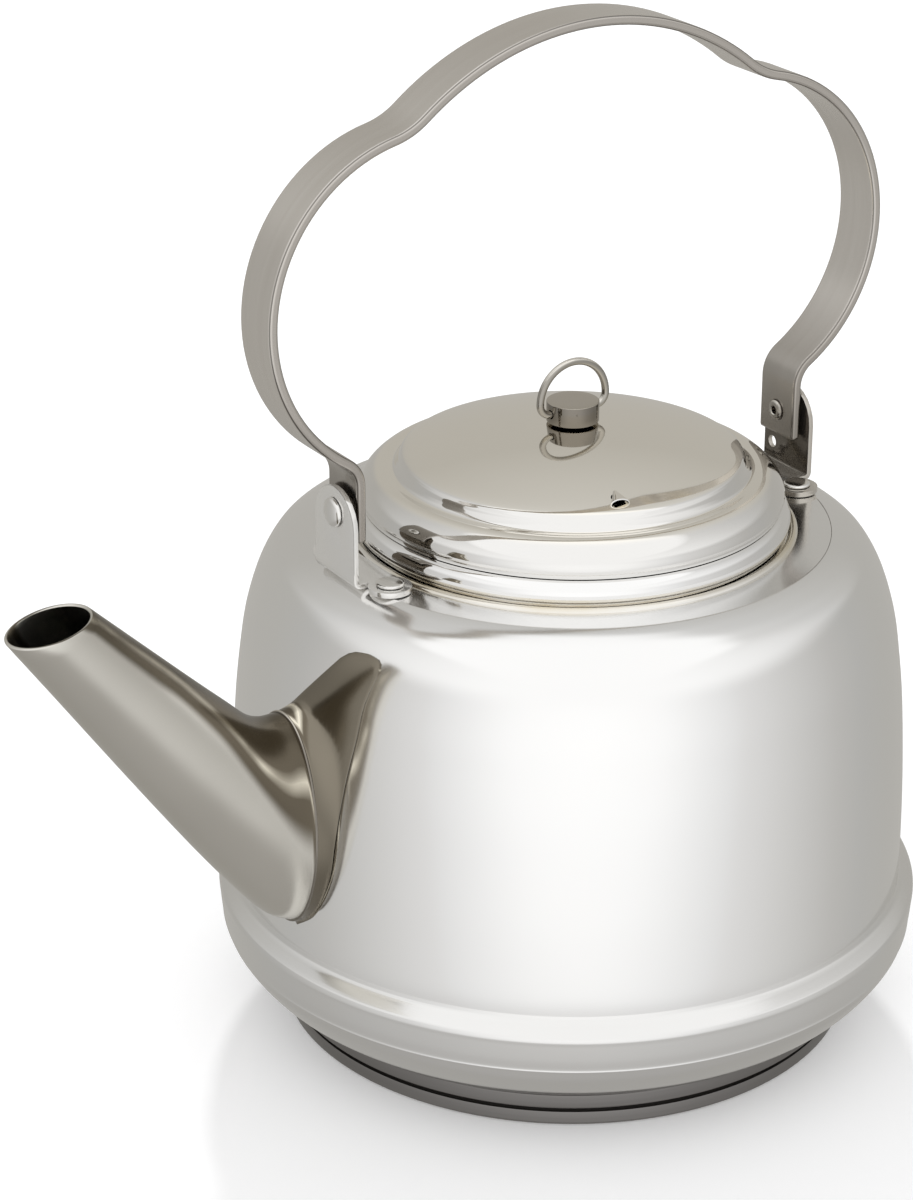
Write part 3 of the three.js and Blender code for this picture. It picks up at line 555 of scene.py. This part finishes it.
# Holes behind the spout, in staggered rows
strainer = {"radius": 2.4, "pitch": 8.4, "rows": [2, 3, 2, 3, 2, 3], "base": 82.0, "turn": 7.0,
            "through": (-4, 3), "sides": 20}
holes = []
for row, count in enumerate(strainer["rows"]):
    height = strainer["base"] + row * strainer["pitch"]
    radius = wallRadiusAt(height)
    for i in range(count):
        turn = radians(strainer["turn"]) + (i - (count - 1) / 2) * strainer["pitch"] / radius
        ends = [(-cos(turn) * (radius + past), -sin(turn) * (radius + past), height)
                for past in strainer["through"]]
        holes.append(rodBetween(*ends, strainer["radius"], strainer["sides"]))
pickNothing()
for hole in holes:
    hole.select_set(True)
bpy.context.view_layer.objects.active = holes[0]
bpy.ops.object.join()
cutWith(wallPiece, [holes[0]])
finish(wallPiece, "kettle_body", wallSteel, "polished_steel", "body_wall")

neck = {"radius": 74.8, "foot": 178.5, "top": 187.3, "sides": 160,
        "shape": [(0.976, 0), (0.995, 0.25), (1, 0.54), (0.985, 0.84), (0.958, 1),
                  (0.924, 1), (0.906, 0.92), (0.902, 0.7)]}
neckOuter = formLine(neck, 5)
neckInner = besideLine(neckOuter, sheetThick)[::-1]
neckInner[-1] = (neckInner[-1][0], neck["foot"])
neckPiece = turnPiece("neckRing", [*neckOuter, *neckInner, neckOuter[0]], neck["sides"])
finish(neckPiece, "kettle_body", neckSteel, "polished_steel", "neck_ring")
print("base, pan, wall and neck made")


lid = {"radius": 72.6, "foot": 187.6, "top": 215.0, "ventRadius": 2.2, "vent": (-14.8, -48.6),
       "sides": 192,
       "shape": [(0.986, 0), (1, 0.1), (0.995, 0.2), (0.972, 0.3), (0.931, 0.394), (0.893, 0.431),
                 (0.858, 0.427), (0.836, 0.447), (0.82, 0.511), (0.808, 0.575), (0.785, 0.627),
                 (0.689, 0.715), (0.551, 0.818), (0.413, 0.898), (0.275, 0.955), (0.138, 0.989),
                 (0.0, 1.0)]}
lidOuter = formLine(lid)
lidInner = besideLine(lidOuter, sheetThick)[::-1]
lidInner[0] = (0, lid["top"] - sheetThick)
lidInner[-1] = (lidInner[-1][0], lid["foot"])
lidPiece = turnPiece("lidShell", [*lidOuter, *lidInner, lidOuter[0]], lid["sides"])


def lidHeightAt(radius):
    order = np.argsort(lidOuter[:, 0])
    return float(np.interp(radius, lidOuter[order, 0], lidOuter[order, 1]))


# The vent, and the lip that its punch raises on the side of the knob
vent = {"width": 3.1, "length": 6.5, "rise": 2.0, "sheet": 0.45, "tip": 0.12, "reach": 4,
        "sides": 32, "holeSides": 24}
ventOut = hypot(*lid["vent"])
ventTop = lidHeightAt(ventOut)
cutWith(lidPiece, [rodBetween((*lid["vent"], ventTop - vent["reach"]),
                              (*lid["vent"], ventTop + vent["reach"]), lid["ventRadius"],
                              vent["holeSides"])])
finish(lidPiece, "lid", lidSteel, "polished_steel", "lid_shell")

ventLip = addPiece("ventLip", bpy.ops.mesh.primitive_cone_add, vertices=vent["sides"], radius1=1.0,
                   radius2=vent["tip"], depth=1.0, end_fill_type="NOTHING")
openForEdit(ventLip)
bpy.ops.transform.resize(value=(vent["rise"] * mm, vent["width"] * mm, vent["length"] * mm))
bpy.ops.mesh.bisect(plane_co=(0, 0, 0), plane_no=(1, 0, 0), clear_inner=True)
bpy.ops.mesh.select_all(action="SELECT")
turnSelected(pi / 2, "Y")
bpy.ops.object.mode_set(mode="OBJECT")
outward = atan2(lid["vent"][1], lid["vent"][0])
slope = atan2(lidHeightAt(ventOut - vent["reach"]) - lidHeightAt(ventOut + vent["reach"]),
              2 * vent["reach"])
ventLip.matrix_world = (Matrix.Translation(Vector((*lid["vent"], ventTop)) * mm)
                        @ Matrix.Rotation(outward, 4, "Z") @ Matrix.Rotation(slope, 4, "Y")
                        @ Matrix.Rotation(pi, 4, "Y"))
settle(ventLip)
applyModifier(ventLip, "SOLIDIFY", thickness=vent["sheet"] * mm, offset=0)
openForEdit(ventLip)
closeEdit(ventLip, smoothAngle=40)
finish(ventLip, "lid", lidSteel, "polished_steel")

skirt = {"radius": 66.4, "bottom": 177.5, "middle": 187.0, "top": 197.0, "edge": 0.3, "sides": 128}
skirtInside = skirt["radius"] - sheetThick
skirtPiece = turnPiece("lidSkirt", [
    (skirtInside, skirt["bottom"] + skirt["edge"]), (skirtInside + skirt["edge"], skirt["bottom"]),
    (skirt["radius"] - skirt["edge"], skirt["bottom"]),
    (skirt["radius"], skirt["bottom"] + skirt["edge"]), (skirt["radius"], skirt["middle"]),
    (skirt["radius"], skirt["top"]), (skirtInside, skirt["top"]), (skirtInside, skirt["middle"]),
    (skirtInside, skirt["bottom"] + skirt["edge"])], skirt["sides"])
finish(skirtPiece, "lid", earSteel, "spout_steel", "lid_skirt")

knob = {"radius": 9.0, "base": 215.6, "height": 7.0, "edge": 0.35, "bore": 2.8, "boreTop": 218.3,
        "middle": 0.6, "sides": 96}
knobTop = knob["base"] + knob["height"]
knobPiece = turnPiece("lidKnob", [
    (0, knob["boreTop"]), (knob["bore"], knob["boreTop"]), (knob["bore"], knob["base"]),
    *roundCorner((0, knob["base"]), (knob["radius"], knob["base"]), (knob["radius"], knobTop),
                 knob["edge"]),
    *roundCorner((knob["radius"], knob["base"]), (knob["radius"], knobTop), (0, knobTop),
                 knob["edge"]),
    (knob["radius"] * knob["middle"], knobTop), (0, knobTop)], knob["sides"])

ring = {"height": 219.1, "wire": 1.3, "radius": 13.2, "bend": 4.0, "end": 5.6, "hole": 1.6,
        "holeEnd": 4.8, "cutPast": 2.0, "sides": 20}
outside = knob["radius"] + ring["cutPast"]
cutWith(knobPiece, [
    rodBetween((start, 0, ring["height"]), (end, 0, ring["height"]), ring["hole"])
    for start, end in ((-outside, -ring["holeEnd"]), (ring["holeEnd"], outside))])
finish(knobPiece, "lid", knobSteel, "bracket_steel", "lid_knob")

ringPiece = addPiece("knobRing", bpy.ops.mesh.primitive_circle_add, vertices=ring["sides"],
                     radius=ring["wire"] * mm, fill_type="NGON", rotation=(0, pi / 2, 0),
                     location=(ring["end"] * mm, 0, ring["height"] * mm))
openForEdit(ringPiece, "FACE")
bendReach = ring["radius"] - ring["bend"]
extrudeBy(bendReach - ring["end"], 0)
for steps, turn, x in ((8, pi / 2, bendReach), (40, pi, 0), (8, pi / 2, -bendReach)):
    sweepRound(steps, turn, x, ring["height"] + ring["bend"])
extrudeBy(bendReach - ring["end"], 0)
closeEdit(ringPiece, smoothAngle=40)
finish(ringPiece, "ring", wireSteel, "bracket_steel", "knob_ring")
print("lid, knob and ring made")


# Rows of the shape are shares: reach and rise of the upper edge, the same of the lower, width
spout = {"turn": 7.0, "seam": 123.5, "rootTop": 142.6, "rootBottom": 66.6, "rootHalf": 17.8,
         "lip": 210.5, "lipHeight": 198.3, "lipLength": 14.6, "lipHalf": 11.6, "lipTilt": 11.0,
         "edge": 0.35, "sides": 72,
         "shape": [(1, 1, 1, 1, 0), (0.832, 0.803, 0.819, 0.802, 0.23),
                   (0.64, 0.578, 0.642, 0.607, 0.45), (0.461, 0.369, 0.474, 0.424, 0.66),
                   (0.309, 0.195, 0.326, 0.267, 0.84), (0.193, 0.065, 0.188, 0.13, 0.96),
                   (0.096, 0.01, 0.084, 0.04, 1), (0, 0, 0, 0, 1)]}
lipAlong = spout["lipLength"] * cos(radians(spout["lipTilt"]))
lipDrop = spout["lipLength"] * sin(radians(spout["lipTilt"]))


# Middle (x, z), half length, half width and lean of each ring, from the seam outwards
def spoutStations():
    rows = []
    for upReach, upRise, lowReach, lowRise, width in fairLine(spout["shape"], 5)[::-1]:
        upX = spout["seam"] + (spout["lip"] - lipAlong - spout["seam"]) * upReach
        upZ = spout["rootTop"] + (spout["lipHeight"] + lipDrop - spout["rootTop"]) * upRise
        lowX = spout["seam"] + (spout["lip"] + lipAlong - spout["seam"]) * lowReach
        lowZ = spout["rootBottom"] + (spout["lipHeight"] - lipDrop - spout["rootBottom"]) * lowRise
        half = hypot(upX - lowX, upZ - lowZ) / 2
        wide = spout["rootHalf"] + (spout["lipHalf"] - spout["rootHalf"]) * (1 - width)
        rows.append((-(upX + lowX) / 2, (upZ + lowZ) / 2, half, wide,
                     atan2(-(upX - lowX), upZ - lowZ)))
    return rows


# Pieces of the spout are made in the X-Z plane, then turned as one
def turnToSpout(piece, smoothAngle):
    bpy.ops.mesh.select_all(action="SELECT")
    turnSelected(radians(spout["turn"]), "Z")
    closeEdit(piece, smoothAngle)


stations = spoutStations()
tube = addPiece("spoutTube", bpy.ops.mesh.primitive_circle_add, vertices=spout["sides"], radius=mm,
                rotation=(0, pi / 2, 0))
openForEdit(tube)
x, z, half, wide, lean = stations[0]
bpy.ops.transform.resize(value=(1, wide, half), center_override=(0, 0, 0))
turnSelected(lean, "Y")
bpy.ops.transform.translate(value=(x * mm, 0, z * mm))
for before, after in zip(stations, stations[1:]):
    middle = (after[0] * mm, 0, after[1] * mm)
    extrudeBy(after[0] - before[0], after[1] - before[1])
    turnSelected(-before[4], "Y", middle)
    bpy.ops.transform.resize(value=(1, after[3] / before[3], after[2] / before[2]),
                             center_override=middle)
    turnSelected(after[4], "Y", middle)
turnToSpout(tube, smoothAngle=50)
applyModifier(tube, "SOLIDIFY", thickness=sheetThick * mm, offset=-1, use_even_offset=True)
breakEdges(tube, spout["edge"], segments=2, limit=50, smoothAngle=40)
finish(tube, "kettle_body", tubeSteel, "spout_steel", "spout_tube")

# Rows of the foot are shares, from its top round to its bottom: way round, width, height
collar = {"footTop": 166.0, "footBottom": 62.5, "footHalf": 18.2, "lean": 21.0, "edge": 0.5,
          "rise": 4.5, "gap": 0.3, "leanStart": 0.32, "leanPower": 1.6, "steps": 18, "fillet": 0.8,
          "sheet": 0.75, "bevel": 0.25,
          "foot": [(0, 0, 1), (0.067, 0.3, 0.99), (0.122, 0.48, 0.95), (0.194, 0.6, 0.854),
                   (0.278, 0.8, 0.737), (0.361, 0.91, 0.61), (0.444, 0.98, 0.483),
                   (0.528, 1, 0.366), (0.639, 0.92, 0.239), (0.75, 0.69, 0.132),
                   (0.861, 0.37, 0.049), (1, 0, 0)]}
footLine = fairLine(collar["foot"], 5)


# The share goes from the root at the tube to the foot on the wall, the angle from 0 to 1 round it
def collarPoint(share, angle):
    turnShare = 2 * min(angle, 1 - angle)
    side = 1 if angle <= 0.5 else -1
    widthShare = float(np.interp(turnShare, footLine[:, 0], footLine[:, 1]))
    heightShare = float(np.interp(turnShare, footLine[:, 0], footLine[:, 2]))
    height = collar["footBottom"] + (collar["footTop"] - collar["footBottom"]) * heightShare
    radius = wallRadiusAt(height)
    leanShare = max(heightShare - collar["leanStart"], 0) / (1 - collar["leanStart"])
    turn = (collar["lean"] * leanShare ** collar["leanPower"]
            + side * widthShare * collar["footHalf"]) / radius
    reach = radius + collar["gap"] + collar["edge"]
    foot = np.array([-reach * cos(turn), -reach * sin(turn), height])
    half = (spout["rootTop"] - spout["rootBottom"]) / 2
    root = np.array([-(spout["seam"] - collar["gap"]), -sin(tau * angle) * spout["rootHalf"],
                     spout["rootBottom"] + half + half * cos(tau * angle)])
    fillet = collar["fillet"]
    inward = (1 - fillet) * share + fillet * sin(share * pi / 2)
    spread = (1 - fillet) * share + fillet * (1 - cos(share * pi / 2))
    point = root + (foot - root) * np.array([inward, spread, spread])
    crest = max(cos(tau * angle), 0) * (1 - share)
    least = wallRadiusAt(point[2]) + collar["gap"] + collar["edge"] + collar["rise"] * crest
    reach = hypot(point[0], point[1])
    if reach < least:
        point[:2] *= least / reach
    return point


collarPiece = addPiece("spoutCollar", bpy.ops.mesh.primitive_circle_add, vertices=spout["sides"],
                       radius=mm)
openForEdit(collarPiece)
for _ in range(collar["steps"]):
    extrudeBy(0, 1)
bpy.ops.object.mode_set(mode="OBJECT")
for vertex in collarPiece.data.vertices:  # each ring of the blank goes to its place on the form
    share = round(vertex.co.z / mm) / collar["steps"]
    angle = (atan2(vertex.co.y, vertex.co.x) / tau) % 1
    vertex.co = Vector(collarPoint(share, angle)) * mm
openForEdit(collarPiece)
turnToSpout(collarPiece, smoothAngle=50)
applyModifier(collarPiece, "SOLIDIFY", thickness=collar["sheet"] * mm, offset=-1)
breakEdges(collarPiece, collar["bevel"], segments=2, limit=50, smoothAngle=40)
finish(collarPiece, "kettle_body", collarSteel, "spout_steel", "spout_collar")

# A bead along the joint of tube and collar
seam = {"bead": 0.55, "sink": 0.15, "blank": 26.0}
halfSeam = (spout["rootTop"] - spout["rootBottom"]) / 2
seamBead = addPiece("spoutSeam", bpy.ops.mesh.primitive_torus_add, major_radius=1.0,
                    minor_radius=seam["bead"] / seam["blank"], major_segments=144,
                    minor_segments=10, rotation=(0, pi / 2, 0))
openForEdit(seamBead)
bpy.ops.transform.resize(value=(seam["blank"] * mm, (spout["rootHalf"] - seam["sink"]) * mm,
                                (halfSeam - seam["sink"]) * mm), center_override=(0, 0, 0))
bpy.ops.transform.translate(value=(-(spout["seam"] - seam["sink"]) * mm, 0,
                                   (spout["rootBottom"] + halfSeam) * mm))
turnToSpout(seamBead, smoothAngle=60)
finish(seamBead, "kettle_body", knobSteel, "spout_steel")
print("spout made")


# A strap with three lobes: bends above the legs, side lobes, dimples, crown
bail = {"width": 19.2, "thick": 3.4, "leg": 86.6, "bottom": 193.0, "pivot": 202.0, "bend": 12.0,
        "lobe": (62.0, 270.0), "lobeRadius": 55.9, "dimple": 30.0, "crown": 253.1,
        "crownRadius": 99.2, "edge": 1.1, "hole": 2.9, "through": (80, 95)}
bendX = bail["leg"] + bail["bend"]
bendZ = bail["lobe"][1] - sqrt((bail["lobeRadius"] + bail["bend"]) ** 2
                               - (bendX - bail["lobe"][0]) ** 2)
toLobe = bail["lobeRadius"] + bail["dimple"]
toCrown = bail["crownRadius"] + bail["dimple"]
span = hypot(bail["lobe"][0], bail["lobe"][1] - bail["crown"])
along = (toCrown ** 2 - toLobe ** 2 + span ** 2) / (2 * span)
across = sqrt(toCrown ** 2 - along ** 2)
unit = (bail["lobe"][0] / span, (bail["lobe"][1] - bail["crown"]) / span)
dimple = (unit[0] * along - unit[1] * across, bail["crown"] + unit[1] * along + unit[0] * across)


def angleFrom(a, b):
    return atan2(b[1] - a[1], b[0] - a[0])


bendTurn = angleFrom((bendX, bendZ), bail["lobe"]) - pi
lobeTurn = angleFrom(bail["lobe"], dimple) - angleFrom(bail["lobe"], (bendX, bendZ))
dimpleTurn = angleFrom(dimple, (0, bail["crown"])) - angleFrom(dimple, bail["lobe"])
crownTurn = 2 * (pi / 2 - angleFrom((0, bail["crown"]), dimple))
bends = [((bendX, bendZ), bendTurn, 12), (bail["lobe"], lobeTurn, 44), (dimple, dimpleTurn, 14),
         ((0, bail["crown"]), crownTurn, 40)]
bends += [((-c[0], c[1]), turn, steps) for c, turn, steps in bends[2::-1]]

foot = ((bail["leg"] + bail["thick"] / 2) * mm, 0, bail["bottom"] * mm)
strap = addPiece("bailStrap", bpy.ops.mesh.primitive_plane_add, size=mm, location=foot)
openForEdit(strap, "FACE")
bpy.ops.transform.resize(value=(bail["thick"], bail["width"], 1), center_override=foot)
extrudeBy(0, bendZ - bail["bottom"])
for (x, z), turn, steps in bends:
    sweepRound(steps, turn, x, z)
extrudeBy(0, bail["bottom"] - bendZ)
closeEdit(strap, smoothAngle=30)
cutWith(strap, [rodBetween(*((side * x, 0, bail["pivot"]) for x in bail["through"]), bail["hole"])
                for side in (-1, 1)])
breakEdges(strap, bail["edge"], segments=4, limit=50, smoothAngle=35)

# Middle line of the strap, for a map whose first axis runs along it
line = [Vector((bail["leg"], 0, z)) for z in np.linspace(bail["bottom"], bendZ, 6)]
point = Vector((bail["leg"], 0, bendZ))
for centre, turn, steps in bends:
    for k in range(steps):
        arm = point - Vector((centre[0], 0, centre[1]))
        step = turn / steps
        point = Vector((centre[0] + arm.x * cos(step) - arm.z * sin(step), 0,
                        centre[1] + arm.x * sin(step) + arm.z * cos(step)))
        line.append(point.copy())
line += [Vector((-bail["leg"], 0, z)) for z in np.linspace(bendZ, bail["bottom"], 6)[1:]]
line = np.array([(p.x, p.z) for p in line])
walked = np.concatenate([[0], np.cumsum(np.linalg.norm(np.diff(line, axis=0), axis=1))])
spots = np.array([v.co for v in strap.data.vertices]) / mm
nearest = np.argmin(np.linalg.norm(spots[:, None, ::2] - line[None], axis=2), axis=1)
strapMap = strap.data.uv_layers.new(name="strapMap")
for loop in strap.data.loops:
    v = loop.vertex_index
    strapMap.data[loop.index].uv = (walked[nearest[v]] * mm, spots[v, 1] * mm)
finish(strap, "bail", strapSteel, "satin_steel", "bail_handle")
print("bail made")


bracket = {"edge": 0.35}


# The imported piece's own shape with its edges broken
def dressCopy(name, node):
    pickNothing()
    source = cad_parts[node]
    piece = bpy.data.objects.new(name, source.data.copy())
    bpy.context.scene.collection.objects.link(piece)
    openForEdit(piece)
    bpy.ops.mesh.remove_doubles(threshold=0.01 * mm)
    bpy.ops.mesh.dissolve_limited(angle_limit=radians(1))
    bpy.ops.object.mode_set(mode="OBJECT")
    breakEdges(piece, bracket["edge"], segments=3, limit=40, smoothAngle=35)
    return piece


for name, node, steel in (("frontBracket", "front_bracket", frontEarSteel),
                          ("rearBracket", "rear_bracket", shadedRearEarSteel)):
    finish(dressCopy(name, node), "kettle_body", steel, "bracket_steel", node)

# Both kinds of rivet are radius and height pairs above their own feet
rivet = {"place": (83.0, 18.0), "tailTop": 176.7, "headFoot": 180.6, "sides": 48,
         "tail": [(0, -1.3), (2.4, -1.25), (3.2, -0.6), (3.2, 0), (2.0, 0)],
         "head": [(2.0, 0), (4.6, 0), (4.7, 0.15), (4.7, 0.5), (4.5, 0.78), (4.05, 0.95),
                  (3.4, 1.03), (0, 1.1)]}
rivetProfile = [(r, rivet["tailTop"] + up) for r, up in rivet["tail"]] \
    + [(r, rivet["headFoot"] + up) for r, up in rivet["head"]]
for place, end in (("Front", -1), ("Rear", 1)):
    for hand, side in (("Right", -1), ("Left", 1)):
        piece = turnPiece(f"rivet{place}{hand}", rivetProfile, rivet["sides"], smoothAngle=40)
        piece.location = (end * rivet["place"][0] * mm, side * rivet["place"][1] * mm, 0)
        settle(piece)
        finish(piece, "kettle_body", earSteel, "bracket_steel",
               f"bracket_rivet_{place.lower()}_{hand.lower()}")

pivot = {"inside": 85.2, "shank": 2.6, "head": 5.0, "headFoot": 93.7, "rim": 0.25, "rise": 2.1,
         "height": 202.0, "sides": 48,
         "tail": [(0, 4.0), (1.4, 4.0), (1.4, 0.3), (1.7, 0), (2.4, 0.02), (3.1, 0.3), (3.5, 0.75),
                  (3.5, 1.1), (2.6, 1.1)]}
pivotProfile = [(r, pivot["inside"] + up) for r, up in pivot["tail"]] + [
    (pivot["shank"], pivot["headFoot"]), (pivot["head"], pivot["headFoot"])]
pivotProfile += [(pivot["head"] * cos(a), pivot["headFoot"] + pivot["rim"]
                  + (pivot["rise"] - pivot["rim"]) * sin(a))
                 for a in np.linspace(0.08, pi / 2, 9)[:-1]]
pivotProfile += [(0, pivot["headFoot"] + pivot["rise"])]
washer = {"bore": 2.9, "radius": 6.2, "inner": 90.3, "thick": 1.0, "edge": 0.2}
washerOuter = washer["inner"] + washer["thick"]
washerProfile = softProfile([
    (washer["bore"], washer["inner"]), (washer["radius"], washer["inner"]),
    (washer["radius"], washerOuter), (washer["bore"], washerOuter),
    (washer["bore"], washer["inner"])], washer["edge"])
for side, end in (("Front", -1), ("Rear", 1)):
    # The rear pivot rivet takes the darker ring-wire steel, painted shade like the rear bracket
    # beside it
    pivotSteel = earSteel if end < 0 else wireSteel
    for label, node, profile, steel in (
            ("pivotRivet", "pivot_rivet", pivotProfile, pivotSteel),
            ("pivotWasher", "pivot_washer", washerProfile, darkSteel)):
        piece = turnPiece(f"{label}{side}", profile, pivot["sides"], smoothAngle=40)
        piece.rotation_euler = (0, end * pi / 2, 0)
        piece.location = (0, 0, pivot["height"] * mm)
        settle(piece)
        finish(piece, "kettle_body", steel, "fastener_steel", f"{node}_{side.lower()}")

for node in ("knob_screw", "knob_washer"):
    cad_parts[node].data.materials.clear()
    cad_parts[node].data.materials.append(darkSteel)
print("fittings made")


# A pale floor that takes the shadow and isn't mirrored in the metal
studio = {"floorSize": 40.0, "floorTone": (0.93, 0.93, 0.935), "floorRough": 0.6, "floorLift": 0.17,
          "floorDrop": 0.3, "room": 0.9, "front": -118.0, "risingAhead": (0.56, 0.46),
          "overheadLean": 0.4, "overheadStart": 0.72, "overheadEnd": 0.86, "overheadTone": 1.1,
          "backLight": 1.25, "backSpread": 5.0, "backRise": 26.0, "backAlong": (-0.53, -0.848)}
pickNothing()
bpy.ops.mesh.primitive_plane_add(size=studio["floorSize"],
                                 location=(0, 0, -studio["floorDrop"] * mm))
floor = bpy.context.object
floor.name = "floor"
floorPaint, g, shader, coords = newMaterial("paleFloor")
seen = g.node("ShaderNodeLightPath").outputs["Is Camera Ray"]
g.fill(shader, Base_Color=studio["floorTone"], Roughness=studio["floorRough"],
       Specular_IOR_Level=0.0, Emission_Color=(1, 1, 1),
       Emission_Strength=g.math("MULTIPLY", seen, studio["floorLift"]))
floor.data.materials.append(floorPaint)
floor.visible_glossy = False

# Metal sees a soft tent: bright in front, grey behind, bright overhead, dark straight below
world = bpy.data.worlds.new("studio")
bpy.context.scene.world = world
world.use_nodes = True
g = Graph(world.node_tree)
world.node_tree.nodes.clear()
x, y, z = g.parts(g.node("ShaderNodeTexCoord").outputs["Generated"])
front = radians(studio["front"])
forward = g.math("ADD", g.math("MULTIPLY", x, cos(front)), g.math("MULTIPLY", y, sin(front)))
ahead = g.math("MULTIPLY_ADD", forward, 0.5, 0.5)
side = g.ramp(ahead, [
    (0.0, (0.475, 0.46, 0.43)), (0.2, (0.475, 0.465, 0.44)), (0.33, (0.485, 0.48, 0.465)),
    (0.453, (0.535, 0.526, 0.51)), (0.581, (0.622, 0.617, 0.605)), (0.672, (0.695, 0.69, 0.68)),
    (0.74, (0.755, 0.75, 0.745)), (0.786, (0.795, 0.79, 0.785)), (0.813, 0.845), (0.88, 0.955),
    (0.95, 1.09), (1.0, 1.14)])
height = g.math("MULTIPLY_ADD", z, 0.5, 0.5)
# Lighter above the horizon, first at the sides and front, bright all over near the top
rising = g.math("MULTIPLY", g.ramp(height, [(0.0, 0.0), (0.605, 0.0), (0.69, 1.0), (1.0, 1.0)]),
                g.math("MULTIPLY_ADD", forward, *studio["risingAhead"], clamp=True))
overhead = g.smooth(g.math("MULTIPLY_ADD", forward, studio["overheadLean"], z),
                    studio["overheadStart"], studio["overheadEnd"])
reflected = g.mix(g.math("MAXIMUM", rising, overhead), side, (studio["overheadTone"],) * 3)
below = g.ramp(ahead, [
    (0.0, (0.42, 0.41, 0.39)), (0.45, (0.43, 0.42, 0.4)), (0.5, (0.44, 0.43, 0.415)),
    (0.75, (0.48, 0.47, 0.457)), (1.0, (0.56, 0.547, 0.532))])
reflected = g.mix(g.ramp(height, [(0.0, 1.0), (0.13, 1.0), (0.17, 0.75), (0.225, 0.0), (1.0, 0.0)]),
                  reflected, below)
path = g.node("ShaderNodeLightPath").outputs
tone = g.mix(path["Is Glossy Ray"], (studio["room"],) * 3, reflected)
tone = g.mix(path["Is Camera Ray"], tone, (1.0, 1.0, 1.0))
background = g.node("ShaderNodeBackground")
g.link(tone, background.inputs[0])
g.link(background.outputs[0], g.node("ShaderNodeOutputWorld").inputs[0])

# A low light from behind lays the kettle's pale shadow towards the camera
pickNothing()
bpy.ops.object.light_add(type="SUN", location=(0.5, 0.8, 0.6))
backLamp = bpy.context.object
backLamp.name = "backLamp"
backLamp.data.energy = studio["backLight"]
backLamp.data.angle = radians(studio["backSpread"])
low = radians(studio["backRise"])
backX, backY = studio["backAlong"]
backLamp.rotation_euler = Vector((backX * cos(low), backY * cos(low), -sin(low))) \
    .to_track_quat("-Z", "Y").to_euler()
backLamp.visible_glossy = False

camera = {"place": (-0.60303, -0.88890, 0.62368), "forward": (0.48548, 0.77497, -0.40463),
          "up": (0.21308, 0.34399, 0.91448), "lens": 101.73, "sensor": 36}
view = bpy.data.objects.new("camera", bpy.data.cameras.new("camera"))
bpy.context.scene.collection.objects.link(view)
view.data.lens = camera["lens"]
view.data.sensor_width = camera["sensor"]
right = Vector(camera["forward"]).cross(Vector(camera["up"]))
view.matrix_world = Matrix.Translation(camera["place"]) @ Matrix(
    (right, camera["up"], [-c for c in camera["forward"]])).transposed().to_4x4()
bpy.context.scene.camera = view
bpy.context.scene.view_settings.view_transform = "Standard"
